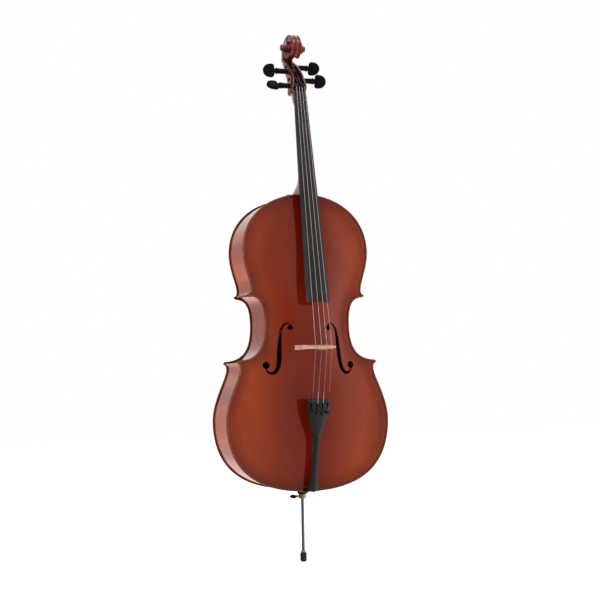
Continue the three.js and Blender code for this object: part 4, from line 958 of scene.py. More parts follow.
# Rise above the nut against depth, for the pegbox's back, and against half width.
PEGBOX_BACK = [(-7, 6), (-4, 9), (4, 4.6), (20, 7), (42, 19.5), (72, 44), (96, 57.5), (118, 61)]
PEGBOX_HALF = [(-7, 17.6), (-3, 20), (42, 18.5), (72, 16), (96, 14.3), (118, 13)]
# Each peg: its side, level, string, share of the pegbox's depth and how far its head is turned.
PEG_SPOTS = {"c": (-1, NUT_LEVEL + 14.5, 0, 0.42, 52), "g": (-1, NUT_LEVEL + 59.5, 1, 0.44, 0),
             "d": (1, NUT_LEVEL + 75, 2, 0.34, 28), "a": (1, NUT_LEVEL + 34, 3, 0.5, 15)}
PEG_OUT = {"c": PEG_NECK_OUT, "g": PEG_NECK_OUT, "d": PEG_NECK_OUT - 6, "a": PEG_NECK_OUT}


def run_through(line, place):
    """Smooth height of a line through a few points, at a place along it."""
    i = next((k for k, (at, _) in enumerate(line) if at > place), len(line)) - 1
    i = max(0, min(len(line) - 2, i))
    low, high = line[i], line[i + 1]

    def slope(a, b):
        return (b[1] - a[1]) / (b[0] - a[0])

    middle = slope(low, high)
    start = (slope(line[i - 1], low) + middle) / 2 if i else middle
    end = (middle + slope(high, line[i + 2])) / 2 if i + 2 < len(line) else middle
    length = high[0] - low[0]
    t = (place - low[0]) / length
    return (low[1] * (1 + 2 * t) * (1 - t) ** 2 + start * length * t * (1 - t) ** 2
            + high[1] * t * t * (3 - 2 * t) + end * length * t * t * (t - 1))


def glue_plane(level):
    """Depth of the leaning plane between neck and fingerboard."""
    return GLUE_AT_BODY + (level - BODY_TOP) * LEAN


def board_half(level):
    return mix(BOARD_HALF_NUT, BOARD_HALF_END, (NUT_LEVEL - level) / BOARD_LENGTH)


def pegbox_at(level):
    """Front depth, rear depth and half width of the pegbox at a level."""
    rise = level - NUT_LEVEL
    share = rise / BOX_LONG
    if level < BOX_START + 0.3:
        front = glue_plane(level) + 0.5
    else:
        front = glue_plane(NUT_LEVEL) - 3 - 11 * share + 74 * share * share
    return front, run_through(PEGBOX_BACK, rise), run_through(PEGBOX_HALF, rise)


def peg_depth(name):
    _, level, _, share, _ = PEG_SPOTS[name]
    front, rear, _ = pegbox_at(level)
    return mix(front, rear, share)


def super_section(front, rear, half, half_rear, boxy, level, count=48):
    """A level section between an ellipse and a rectangle: boxy 2 is an ellipse."""
    ring = []
    for k in range(count):
        turn = (k + 0.5) / count * 2 * math.pi
        c, s = math.cos(turn), math.sin(turn)
        depth = 0.5 + 0.5 * math.copysign(abs(s) ** (2 / boxy), s)
        wide = mix(half, half_rear, max(0, depth))
        ring.append((math.copysign(abs(c) ** (2 / boxy), c) * wide, mix(front, rear, depth), level))
    return ring


def neck_shaft():
    """The neck from the body to the pegbox, with the swelling under the nut."""
    low = BODY_TOP + 6
    levels = [mix(low, NUT_LEVEL - CHIN_LONG, k / 40) for k in range(41)]
    levels += [NUT_LEVEL - CHIN_LONG * math.cos(math.pi / 2 * k / 20) for k in range(1, 19)]
    rings = []
    for level in levels:
        share = (level - low) / (NUT_LEVEL - low)
        drop = min(1, (NUT_LEVEL - level) / CHIN_LONG)
        deep = mix(NECK_DEEP_HEEL, NECK_DEEP_NUT, share) + CHIN_DEEP * math.sqrt(max(0, 1 - drop**2))
        rings.append(neck_section(level, board_half(level) - 0.6, deep))
    rings.append(neck_section(NUT_LEVEL + 2, BOARD_HALF_NUT - 0.6, NECK_DEEP_NUT + CHIN_DEEP * 0.6))
    rings.append(neck_section(BOX_START + 5, BOARD_HALF_NUT - 0.6, NECK_DEEP_NUT))
    return loft("neck_shaft", rings)


def neck_section(level, half, deep):
    """A section of the neck: flat where the fingerboard is glued, round behind."""
    front = glue_plane(level) + 0.3
    ring = [(half * math.cos(t), front + 3 + (deep - 3) * math.sin(t), level)
            for t in (math.pi * k / 30 for k in range(31))]
    return ring + [(-half, front, level), (half, front, level)]


def heel_piece():
    """The heel: it widens from the neck's round back to a foot let into the body."""
    rings = []
    reach = 62
    foot = BODY_TOP - MORTISE
    for i in range(45):
        share = i / 44
        level = foot + (reach + MORTISE) * share**1.4
        climb = max(0, (level - BODY_TOP) / reach)
        neck_back = glue_plane(level) + NECK_DEEP_HEEL
        rear = mix(neck_back, HALF_RIB - 0.3, (1 - math.sqrt(max(0, 1 - (1 - climb) ** 2))) ** 0.75)
        front = glue_plane(level) + 0.3
        rear_share = min(1, max(0, (rear + HALF_RIB) / RIB_DEPTH))
        half_front = mix(heel_half(front), board_half(level) - 0.6, climb)
        half_rear = mix(HEEL_FRONT, HEEL_BACK, rear_share)
        half_rear *= mix(1, 0.72, float(smooth_step(0, 0.5, climb)))
        soft = float(smooth_step(0, 0.12, climb))
        ring = [(half_front, front, level)]
        for k in range(25):
            turn = math.pi * k / 24
            depth = math.sin(turn) ** mix(0.28, 0.55, soft)
            across = math.copysign(abs(math.cos(turn)) ** mix(0.25, 0.6, soft), math.cos(turn))
            wide = mix(half_front, half_rear, depth)
            ring.append((across * wide, mix(front + 3, rear, depth), level))
        ring.append((-half_front, front, level))
        rings.append(ring)
    return loft("heel", rings)


def pegbox_outer():
    levels = [BOX_FOOT, BOX_FOOT + 1.5, BOX_FOOT + 3, NUT_LEVEL - 2, NUT_LEVEL,
              BOX_START - 2, BOX_START, BOX_START + 0.3]
    levels += [mix(BOX_START + 0.3, BOX_CROWN, k / 36) for k in range(1, 37)]
    rings = []
    for level in levels:
        front, rear, half = pegbox_at(level)
        rings.append(super_section(front, rear, half, half - 1, 7, level))
    return loft("pegbox", rings)


def pegbox_cavity():
    rings = []
    for i in range(25):
        level = mix(BOX_START, NUT_LEVEL + BOX_LONG, i / 24)
        front, rear, half = pegbox_at(level)
        inner, floor = half - CHEEK_THICK, rear - PEGBOX_FLOOR
        rings.append([(-inner, front - 30, level), (inner, front - 30, level),
                      (inner - 0.4, floor, level), (-inner + 0.4, floor, level)])
    return loft("pegbox_cavity", rings)


def volute_radius(turns):
    """Distance from the eye to the scroll's outside, which shrinks turn by turn."""
    sweep = SCROLL_SWEEP * max(0, 1 - turns / SCROLL_TOP) ** 1.6
    return SCROLL_OUTER * math.exp(-0.53 * turns) - 1.2 * turns + sweep


def volute_half(turns):
    """Half the scroll's width, which grows towards the eye."""
    return mix(10.8, 32, (turns / SCROLL_TURNS) ** 1.35) + 3 * max(0, 1 - turns / SCROLL_TOP)


def volute_point(turns, radius):
    angle = turns * 2 * math.pi - 0.5
    return EYE[0] + radius * math.cos(angle), EYE[1] + radius * math.sin(angle)


def volute_band():
    """The outside of the scroll: a spiral band with two flutes and a spine between them."""
    per_turn = 72
    count = int(SCROLL_TURNS * per_turn)
    rings = []
    for i in range(count + 1):
        turns = i / per_turn
        outer = volute_radius(turns)
        inner = max(0.5, outer - mix(19, 8, turns / SCROLL_TURNS))
        half = volute_half(turns)
        chamfer = 1.3
        flute = mix(2.2, 1.0, turns / SCROLL_TURNS)
        profile = [(-half, inner), (-half, outer - chamfer)]
        for k in range(15):
            across = mix(-half + chamfer, half - chamfer, k / 14)
            share = abs(across) / (half - chamfer)
            profile.append((across, outer - flute * math.sin(math.pi * min(1, share))))
        profile += [(half, outer - chamfer), (half, inner)]
        rings.append([(across, *volute_point(turns, radius)) for across, radius in profile])
    return loft("volute_band", rings)


def volute_cheeks():
    """The sides of the scroll, scooped a little below the band's edges."""
    per_turn = 36
    count = int(SCROLL_TURNS * per_turn)
    fan = []
    for k in range(count + 1):
        turns = k / per_turn
        fan.append((turns, *volute_point(turns, volute_radius(turns) - 3)))
    pieces = []
    for start in range(0, len(fan) - 4, 4):
        part = fan[start:start + 6]
        middle = part[len(part) // 2]
        half = volute_half(part[0][0]) - mix(1.6, 0.3, middle[0] / SCROLL_TURNS)
        hub = (EYE[0] - (middle[1] - EYE[0]) * 0.1, EYE[1] - (middle[2] - EYE[1]) * 0.1)
        outline = [hub] + [(y, z) for _, y, z in part]
        pieces.append(loft(f"cheek_{start}", [[(x, y, z) for y, z in outline] for x in (-half, half)]))
    return pieces


def scroll():
    """The scroll's pieces, not yet joined: band, cheeks and eye."""
    eye = lathe("eye", [(7.2, -33.4), (8.2, -32.4), (8.2, 32.4), (7.2, 33.4)], 40,
                lambda x, y, z: (z, EYE[0] + x, EYE[1] + y))
    return [volute_band(), *volute_cheeks(), eye]


def neck_and_scroll(material):
    """Neck, heel, pegbox and scroll as one carved piece, hollowed and bored for the pegs."""
    shaft, heel, box = neck_shaft(), heel_piece(), pegbox_outer()
    piece = joined("neck_and_scroll_wood", [shaft, heel, box] + scroll(), 0.75, 5)
    cut(piece, pegbox_cavity())
    bore = [(peg_radius_at(out) + 0.25, out) for out in (-24.0, 24.0)]
    for name in PEG_SPOTS:
        cut(piece, peg_lathe(f"bore_{name}", name, bore, 32))
    return finish_piece(piece, material, "instrument", ["neck_and_scroll"], 42)


# ---- pegs -----------------------------------------------------------------------------------
def peg_radius_at(out):
    return PEG_RADIUS + PEG_TAPER * (out - 19.5) / 39


def laid(name):
    """Places a point turned about +Z across the pegbox, the head to its own side."""
    side, level = PEG_SPOTS[name][:2]
    depth = peg_depth(name)
    return lambda x, y, z: (side * z, depth + y, level - side * x)


def peg_lathe(label, name, profile, segments):
    return lathe(label, profile, segments, laid(name))


# A peg's head seen face on: distance outward from its stem against half height.
PEG_HEAD = [(0, 0.3), (0.03, 0.74), (0.12, 0.96), (0.35, 1), (0.64, 0.9), (0.88, 0.58), (0.98, 0.24), (1, 0)]


def peg(name, material):
    """A tapered shaft with a turned collar, and a head like a thumb's flat pad."""
    _, level, _, _, face_turn = PEG_SPOTS[name]
    half = pegbox_at(level)[2]
    base = PEG_OUT[name]
    shaft_end = -half - 1.5
    profile = [(peg_radius_at(shaft_end) - 0.6, shaft_end), (peg_radius_at(shaft_end), shaft_end + 0.6),
               (peg_radius_at(base - 2), base - 2), (7.2, base - 1), (8.2, base - 0.2), (8.5, base + 1.0),
               (8.2, base + 2.0), (7.4, base + 2.7), (6.6, base + 3.2), (6.9, base + 3.8), (7.0, base + 4.6),
               (6.4, base + 5.4), (5.6, base + 6.4), (5.3, base + 8), (5.5, base + 10), (6, base + 13)]
    turned_part = peg_lathe(f"peg_{name}_shaft", name, profile, 56)
    inner, long, tall = base + 7, 31.0, 36.0
    edge = spline([(inner + out * long, half_tall * tall / 2) for out, half_tall in PEG_HEAD], 30)
    face = [tuple(p) for p in edge] + [(out, -across) for out, across in edge[::-1][1:]]
    middle = inner + long / 2
    turned = math.radians(face_turn)
    place = laid(name)
    rings = []
    for k in range(25):
        slant = mix(-math.pi / 2, math.pi / 2, k / 24)
        scale = mix(0.62, 1, max(0, math.cos(slant)) ** 0.45)
        ring = []
        for out, across in face:
            x, z = across * scale, mix(middle, out, scale)
            hollow = 1 - 0.25 * math.exp(-((x / 9) ** 2) - ((z - middle) / 9) ** 2)
            depth = 6.5 * math.sin(slant) * hollow
            ring.append(place(x * math.cos(turned) - depth * math.sin(turned),
                              x * math.sin(turned) + depth * math.cos(turned), z))
        rings.append(ring)
    head = loft(f"peg_{name}_head", rings)
    piece = joined(f"peg_{name}_wood", [turned_part, head], 0.45, 3)
    return finish_piece(piece, material, f"peg_{name}_body", [f"peg_{name}"], 60)


WINDING_X = {"c": -6, "g": -3.2, "d": 3.2, "a": 6}
WINDING_HALF, WINDING_THICK = 3.6, 1.2


def winding_outer(name):
    side = PEG_SPOTS[name][0]
    return peg_radius_at(WINDING_X[name] * side + WINDING_HALF) + 0.3 + WINDING_THICK


def winding(name, material):
    """Turns of string side by side: a sleeve whose outside is a row of rounds."""
    side = PEG_SPOTS[name][0]
    middle = WINDING_X[name] * side
    outer = winding_outer(name)
    inner = outer - WINDING_THICK
    wire = STRING_RADIUS[PEG_SPOTS[name][2]]
    count = max(2, round(WINDING_HALF / wire))
    profile = [(inner, middle - WINDING_HALF)]
    for k in range(count):
        low = middle - WINDING_HALF + 2 * WINDING_HALF * k / count
        for step in range(7):
            turn = math.pi * step / 6
            profile.append((outer - 0.55 + 0.55 * math.sin(turn),
                            low + WINDING_HALF / count * (1 - math.cos(turn)) + 0.001 * step))
    profile.append((inner, middle + WINDING_HALF))
    piece = ring_lathe(f"winding_{name}_turns", profile, 40, laid(name))
    return finish_piece(piece, material, f"peg_{name}_body", [f"winding_{name}"], 50)


# ---- fingerboard, nut, strings --------------------------------------------------------------
STRING_RADIUS = [0.85, 0.7, 0.58, 0.5]


def board_fall(x):
    return BOARD_RADIUS - math.sqrt(BOARD_RADIUS**2 - x * x)


def board_section(level, lift, count=36):
    """A section of the fingerboard: round on top, flat where it is glued."""
    half = board_half(level)
    glue = glue_plane(level)
    sag = board_fall(half)
    ring = []
    for k in range(count + 1):
        x = mix(-half, half, k / count)
        ring.append((x, glue - BOARD_EDGE - sag - lift + board_fall(x), level))
    return ring + [(half, glue, level), (-half, glue, level)]


def board_crown(level):
    return glue_plane(level) - BOARD_EDGE - board_fall(board_half(level))


def fingerboard(material):
    """The fingerboard, hollowed underneath where it stands free of the neck."""
    end = NUT_LEVEL - BOARD_LENGTH
    piece = loft("fingerboard_wood", [board_section(mix(end, NUT_LEVEL - 0.3, k / 30), 0) for k in range(31)])
    rings = []
    for k in range(13):
        share = k / 12
        level = mix(end - 5, BODY_TOP - 12, share)
        half, rise = board_half(level) - 8, mix(7, 2, share)
        ring = [(-half * math.cos(t), glue_plane(level) - rise * math.sin(t), level)
                for t in (math.pi * j / 24 for j in range(25))]
        rings.append(ring + [(half, glue_plane(level) + 4, level), (-half, glue_plane(level) + 4, level)])
    cut(piece, loft("board_hollow", rings))
    piece = bevelled(piece, 0.7, 3, 50)
    return finish_piece(piece, material, "instrument", ["fingerboard"], 32)


def spread(index, total):
    return (index / 3 - 0.5) * total


TUNER_SPREAD = 44.0
PIVOT_AT = TAIL_LONG - 19
PIVOT_DEPTH = 3.6
HOOK_ALONG = 11.0
HOOK_DEPTH = -15.5
SCREW_BACK = 13.0
LEVER_THICK = 2.4
BRIDGE_BASE = -HALF_RIB - EDGE_THICK - BELLY_RISE * float(arch_share(0, BRIDGE_LEVEL))
BRIDGE_CROWN = BRIDGE_BASE - BRIDGE_TALL


def tail_point(x, depth, along):
    """A point given from the tailpiece's own foot, in its leaning plane."""
    s, c = math.sin(TAIL_LEAN), math.cos(TAIL_LEAN)
    return (x, depth * c - along * s - TAIL_STAND, depth * s + along * c + BODY_BOTTOM + TAIL_FOOT)


def string_path(index):
    """A string's corners: fine tuner, bridge, nut and peg."""
    radius = STRING_RADIUS[index]
    name = "cgda"[index]
    level = PEG_SPOTS[name][1]
    bridge_x, nut_x = spread(index, SPREAD_BRIDGE), spread(index, SPREAD_NUT)
    bridge_fall = BRIDGE_TOP_RADIUS - math.sqrt(BRIDGE_TOP_RADIUS**2 - bridge_x**2)
    peg_front = peg_depth(name) - winding_outer(name) - radius - 0.3
    return [
        tail_point(spread(index, TUNER_SPREAD), HOOK_DEPTH, PIVOT_AT + HOOK_ALONG + radius + 0.5),
        (bridge_x, BRIDGE_CROWN + bridge_fall - radius * 0.3, BRIDGE_LEVEL),
        (nut_x, board_crown(NUT_LEVEL) - NUT_PROUD + board_fall(nut_x) - radius * 0.3,
         NUT_LEVEL + NUT_LONG + 1.6),
        (WINDING_X[name], peg_front, level),
    ]


def strings(looks):
    """Each string in its lengths: thread at the tuner end, winding, and thread again at the peg."""
    for index, name in enumerate("cgda"):
        path = [Vector(p) for p in string_path(index)]
        run = rounded_path(path, 4)
        thread_end = path[0] + (path[1] - path[0]) * 0.2
        head = [p for p in run if p.z <= thread_end.z] + [thread_end]
        middle = [thread_end] + [p for p in run if thread_end.z < p.z < path[2].z + 1.0]
        top = [middle[-1]] + [p for p in run if p.z >= path[2].z + 1.0]
        tail_look = looks["thread_dark"] if name in "ca" else looks["thread_pale"]
        parts = [("tail", head, tail_look, 1.0), ("speaking", middle, looks[f"string_{name}"], 0.94),
                 ("peg_end", top, looks["thread_dark"], 1.0)]
        for label, points, look, scale in parts:
            piece = tube(f"string_{name}_{label}", points, STRING_RADIUS[index] * scale, 14)
            finish_piece(piece, look, "instrument", [f"string_{name}"] if label == "speaking" else (),
                         50)


def groove_cutters(grow):
    return [tube(f"groove_{i}", string_path(i), STRING_RADIUS[i] + grow, 12) for i in range(4)]


def nut(material):
    """The grooved block at the head of the fingerboard."""
    low = board_section(NUT_LEVEL + 0.3, NUT_PROUD)
    rings = []
    for share, drop in [(0, 0), (0.35, 0), (0.7, 0.15), (0.9, 0.5), (1, 1.1)]:
        rings.append([(x, y + NUT_LONG * share * LEAN + (drop if i < 37 else 0), z + NUT_LONG * share)
                      for i, (x, y, z) in enumerate(low)])
    piece = loft("nut_wood", rings)
    cut(piece, *groove_cutters(0.3))
    return finish_piece(piece, material, "instrument", ["nut"], 35)


# ---- bridge and saddle ----------------------------------------------------------------------
def offset_loop(loop, amount):
    """Each corner of a closed loop moved sideways, to the left of the direction of travel."""
    p = np.array(loop, float)
    before = p - np.roll(p, 1, 0)
    after = np.roll(p, -1, 0) - p
    before /= np.maximum(np.linalg.norm(before, axis=1), 1e-9)[:, None]
    after /= np.maximum(np.linalg.norm(after, axis=1), 1e-9)[:, None]
    side = np.stack([-(before + after)[:, 1], (before + after)[:, 0]], 1)
    side /= np.maximum(np.linalg.norm(side, axis=1), 1e-9)[:, None]
    turn = np.clip((before * after).sum(1), -0.5, 1)
    return p + side * (amount / np.sqrt((1 + turn) / 2))[:, None]


def flat_shape(name, outer, holes, layers, place):
    """A board cut to an outline with holes. layers lists (depth, inset); place makes 3-D points."""
    def turned_left(loop):
        p = np.array(loop, float)
        area = (p[:, 0] * np.roll(p[:, 1], -1) - np.roll(p[:, 0], -1) * p[:, 1]).sum()
        return p if area > 0 else p[::-1]

    loops = [turned_left(outer)] + [turned_left(hole)[::-1] for hole in holes]
    points, faces = [], []
    starts = []
    for depth, inset in layers:
        starts.append(len(points))
        for loop in loops:
            points += [place(x, z, depth) for x, z in offset_loop(loop, inset)]
    sizes = [len(loop) for loop in loops]
    for low, high in zip(starts, starts[1:]):
        at = 0
        for size in sizes:
            for i in range(size):
                j = (i + 1) % size
                faces.append((low + at + i, low + at + j, high + at + j, high + at + i))
            at += size
    for start, (depth, inset), flip in ((starts[0], layers[0], True), (starts[-1], layers[-1], False)):
        flat = [[Vector((x, z, 0)) for x, z in offset_loop(loop, inset)] for loop in loops]
        for a, b, c in tessellate_polygon(flat):
            faces.append(tuple(start + k for k in ((c, b, a) if flip else (a, b, c))))
    return outward(new_object(name, points, faces))


def belly_block(name, x0, x1, z0, z1, lift):
    """A solid whose front is the belly's own surface, raised by lift."""
    xs, zs = np.linspace(x0, x1, 40), np.linspace(z0, z1, 16)
    gx, gz = np.meshgrid(xs, zs)
    face = EDGE_THICK + BELLY_RISE * arch_share(gx, gz) + lift
    wide = len(xs)
    points = [(x, -HALF_RIB - h, z) for x, z, h in zip(gx.ravel(), gz.ravel(), face.ravel())]
    points += [(x, -HALF_RIB + 2, z) for x, z in zip(gx.ravel(), gz.ravel())]
    size = len(points) // 2
    faces = []
    for r in range(len(zs) - 1):
        for c in range(wide - 1):
            a = r * wide + c
            faces += [(a, a + 1, a + wide + 1, a + wide),
                      (a + size, a + size + wide, a + size + wide + 1, a + size + 1)]
    rim = [c for c in range(wide)] + [r * wide + wide - 1 for r in range(1, len(zs))]
    rim += [(len(zs) - 1) * wide + c for c in range(wide - 2, -1, -1)]
    rim += [r * wide for r in range(len(zs) - 2, 0, -1)]
    for a, b in zip(rim, rim[1:] + rim[:1]):
        faces.append((a, b, b + size, a + size))
    return outward(new_object(name, points, faces))


def bridge(material):
    """The bridge: feet fitted to the belly, heart and kidney cut-outs, thinner towards the top."""
    side = spline([(37, 7), (34.5, 20), (36, 33), (41.5, 41), (41, 48), (34, 53), (30.5, 61),
                   (34, 69), (36.5, 75), (33, 81)], 60)
    arch = [(x, BRIDGE_TALL - BRIDGE_TOP_RADIUS + math.sqrt(BRIDGE_TOP_RADIUS**2 - x * x))
            for x in np.linspace(31, 0, 25)]
    under = spline([(0, 34), (12, 32.5), (22, 26), (26, 16), (26, 7)], 40)
    foot = [(20, 4), (20, -10), (BRIDGE_FOOT_HALF, -10), (BRIDGE_FOOT_HALF, -1.5),
            (BRIDGE_FOOT_HALF - 2.5, 3)]
    right = [tuple(p) for p in under] + foot + [tuple(p) for p in side] + arch
    heart = [tuple(p) for p in spline([(0, 56), (5, 62), (6.5, 69), (3.2, 72), (0, 68.5)], 24)]
    kidney_line = [(13, 47), (19, 43.5), (26, 46), (25, 52), (18, 55), (13, 52.5), (13, 47)]
    kidney = [tuple(p) for p in spline(kidney_line, 40)[:-1]]
    kidneys = [kidney, [(-x, z) for x, z in kidney]]

    def place(x, rise, share):
        thick = mix(BRIDGE_THICK_FOOT, BRIDGE_THICK_TOP, min(1, max(0, rise / BRIDGE_TALL)) ** 1.7)
        top_face = BRIDGE_LEVEL - BRIDGE_THICK_TOP / 2
        tail_face = top_face - (BRIDGE_THICK_FOOT - BRIDGE_THICK_TOP) * 0.2
        lower = mix(tail_face, top_face, max(0, rise) / BRIDGE_TALL)
        return (x, BRIDGE_BASE - rise, lower + thick * share)

    layers = [(0, 0.7), (0.03, 0.25), (0.09, 0), (0.91, 0), (0.97, 0.25), (1, 0.7)]
    piece = flat_shape("bridge_wood", mirrored(right), [mirrored(heart)] + kidneys, layers, place)
    cut(piece, belly_block("feet_cutter", -60, 60, BRIDGE_LEVEL - 25, BRIDGE_LEVEL + 25, 0.12),
        *groove_cutters(0.22))
    return finish_piece(piece, material, "instrument", ["bridge"], 40)


def saddle(material):
    front, rear = -HALF_RIB - EDGE_THICK - SADDLE_PROUD, -HALF_RIB
    low, high = BODY_BOTTOM, BODY_BOTTOM + SADDLE_DEEP
    outline = [(rear, low), (rear, high), (front + 3, high), (front + 0.8, high - 1.3), (front, high - 3.4),
               (front, low + 1.6), (front + 0.5, low + 0.5), (front + 1.6, low)]
    piece = loft("saddle_wood", [[(x, y, z) for y, z in outline] for x in (-SADDLE_HALF, SADDLE_HALF)])
    piece = bevelled(piece, 0.6, 2, 40)
    return finish_piece(piece, material, "instrument", ["saddle"], 30)


# ---- tailpiece and fine tuners --------------------------------------------------------------
TAIL_HALF = [(0, 13), (14, 11.2), (50, 8.6), (96, 7.8), (134, 9.6), (152, 14), (171, 19.4), (188, 24.2),
             (206, 27.4), (TAIL_LONG, 29)]


def tail_rings(along, half, count=44):
    """A section of the tailpiece, crowned on top and eased near its ends."""
    crown = mix(2.2, 4.6, half / 29)
    end = min(along, TAIL_LONG - along)
    soft = 1.6 * max(0, 1 - end / 2.2) ** 2
    top = TAIL_THICK - crown - soft
    ring = [tail_point(half - 1.2, 0, along), tail_point(-half + 1.2, 0, along),
            tail_point(-half + soft, -1.5, along)]
    for k in range(count + 1):
        x = mix(-half, half, k / count)
        lift = (crown + 4) * max(0, 1 - (x / half) ** 2) ** 0.8
        ring.append(tail_point(x * (1 - soft / half), -max(2, top) - lift, along))
    ring.append(tail_point(half - soft, -1.5, along))
    return ring


def tailpiece(material):
    ends = [0, 0.5, 1.1, 1.7]
    along = sorted(ends + list(np.linspace(2.4, TAIL_LONG - 2.4, 60)) + [TAIL_LONG - gap for gap in ends])
    half_run = spline([(half, level) for level, half in TAIL_HALF], 160)
    rings = [tail_rings(a, float(np.interp(a, half_run[:, 1], half_run[:, 0]))) for a in along]
    piece = loft("tailpiece_body", rings)
    for side in (-1, 1):
        x0, x1 = sorted((side * 24.8, side * 27.2))
        corners = [(x0, -1), (x1, -1), (x1, PIVOT_DEPTH + 3), (x0, PIVOT_DEPTH + 3)]
        ends = (PIVOT_AT - 5, PIVOT_AT + 5)
        add(piece, loft("lug", [[tail_point(x, d, a) for x, d in corners] for a in ends]))
    axle_ends = [tail_point(x, PIVOT_DEPTH, PIVOT_AT) for x in (-40, 40)]
    cutters = [tube("axle_cutter", axle_ends, 1.45, 20)]
    room = LEVER_THICK / 2 + 0.5
    for i in range(4):
        x = spread(i, TUNER_SPREAD)
        outline = slot_outline(x, room, PIVOT_AT - 6, PIVOT_AT + 13)
        cutters.append(loft(f"slot_{i}", [[tail_point(px, d, pa) for px, pa in outline] for d in (-20, 2)]))
        screw = [tail_point(x, d, PIVOT_AT - SCREW_BACK) for d in (-20, 4)]
        cutters.append(tube(f"screw_bore_{i}", screw, 2.1, 20))
    cut(piece, *cutters)
    return finish_piece(piece, material, "instrument", ["tailpiece"], 35)


def slot_outline(x, room, low, high):
    """A slot with round ends that a fine tuner's lever passes through."""
    ends = []
    for centre, start in ((high - room, 0), (low + room, math.pi)):
        for k in range(9):
            turn = start + math.pi * k / 8
            ends.append((x + room * math.cos(turn), centre + room * math.sin(turn)))
    return ends


def tuner_lever(index, material):
    x = spread(index, TUNER_SPREAD)
    name = "cgda"[index]
    outline = [(-1.7, -16.5), (1.2, -16.5), (2.2, -8), (2.7, -2), (2.7, 2.4), (1.8, 3.2), (0, 3.4), (-8, 7.4),
               (-19.4, 11), (-20, 10.2), (-20, 8.4), (-18.4, 7), (-9, 3.6), (-5.4, 1.6), (-3.2, -1.6)]
    corners = [(d + PIVOT_DEPTH, a + PIVOT_AT) for d, a in outline]
    hole = [(PIVOT_DEPTH + 1.5 * math.cos(t), PIVOT_AT + 1.5 * math.sin(t)) for t in turns_of(20)]
    half = LEVER_THICK / 2
    layers = [(-half, 0.35), (-half + 0.12, 0.1), (-half + 0.35, 0),
              (half - 0.35, 0), (half - 0.12, 0.1), (half, 0.35)]
    piece = flat_shape(f"tuner_lever_{name}_arm", corners, [hole], layers,
                       lambda depth, along, across: tail_point(x + across, depth, along))
    return finish_piece(piece, material, f"lever_{name}_body", [f"tuner_lever_{name}"], 40)


def tuner_screw(index, material):
    """A fine tuner's threaded screw with its knurled head."""
    x = spread(index, TUNER_SPREAD)
    name = "cgda"[index]
    base = (9.6, 12.6, 12.6, 9.6)[index]
    profile = [(1.3, -0.3), (1.8, 0.3)]
    for k in range(int((base - 1.2) / 0.7)):
        profile += [(1.8, 0.5 + 0.7 * k), (1.5, 0.85 + 0.7 * k)]
    profile += [(1.8, base - 0.2), (2.6, base), (3.4, base + 0.1), (4.1, base + 0.8), (4.3, base + 1.2),
                (4.3, base + 5.3), (4.1, base + 5.9), (3.6, base + 6.3), (2.4, base + 6.5)]
    rings = []
    for radius, height in profile:
        ring = []
        for k, turn in enumerate(turns_of(48)):
            knurl = 0.16 * (k % 2) if radius > 4.2 else 0
            ring.append(tail_point(x + (radius - knurl) * math.cos(turn), -height,
                                   PIVOT_AT - SCREW_BACK + (radius - knurl) * math.sin(turn)))
        rings.append(ring)
    piece = loft(f"tuner_screw_{name}_head", rings)
    return finish_piece(piece, material, f"screw_{name}_body", [f"tuner_screw_{name}"], 35)


GUT_RADIUS = 1.1
PLUG_NECK = 9.6
GUT_LEVEL = BODY_BOTTOM - 2.3


def tailgut(material):
    """The cord from the tailpiece over the saddle and round the endpin plug's neck."""
    saddle_front = -HALF_RIB - EDGE_THICK - SADDLE_PROUD
    loop = PLUG_NECK + 0.3 + GUT_RADIUS

    def run(sign):
        return [Vector(p) for p in (
            tail_point(sign * 6.5, GUT_RADIUS + 0.3, 12),
            (sign * 7.6, saddle_front - GUT_RADIUS - 0.7, BODY_BOTTOM + 3),
            (sign * 8.4, saddle_front - 0.6, BODY_BOTTOM - GUT_RADIUS - 0.7),
            (sign * loop, -6, GUT_LEVEL))]

    around = [Vector((-loop * math.cos(math.pi * k / 40), loop * math.sin(math.pi * k / 40), GUT_LEVEL))
              for k in range(41)]
    path = rounded_path(run(-1), 2.5) + around + rounded_path(run(1)[::-1], 2.5)
    kept = [path[0]]
    for point in path[1:]:
        if (point - kept[-1]).length > 0.25:
            kept.append(point)
    piece = tube("tailgut_loop", kept, GUT_RADIUS, 14)
    return finish_piece(piece, material, "instrument", ["tailgut"], 60)


# ---- endpin ---------------------------------------------------------------------------------
ROD_BORE = ROD_RADIUS + 0.3
ROD_LOW, ROD_HIGH = 8.3, 478.0
COLLAR_RADIUS, COLLAR_TALL = 12.5, 9.5
FERRULE_RADIUS, FERRULE_TALL = 9.8, 11.5
COLLAR_LOW = BODY_BOTTOM - COLLAR_TALL
FERRULE_TOP = COLLAR_LOW - 0.3
FERRULE_LOW = FERRULE_TOP - FERRULE_TALL
SCREW_LEVEL = (FERRULE_TOP + FERRULE_LOW) / 2


def arc(cx, cy, radius, start, end, steps):
    return [(cx + radius * math.cos(math.radians(mix(start, end, k / steps))),
             cy + radius * math.sin(math.radians(mix(start, end, k / steps)))) for k in range(steps + 1)]


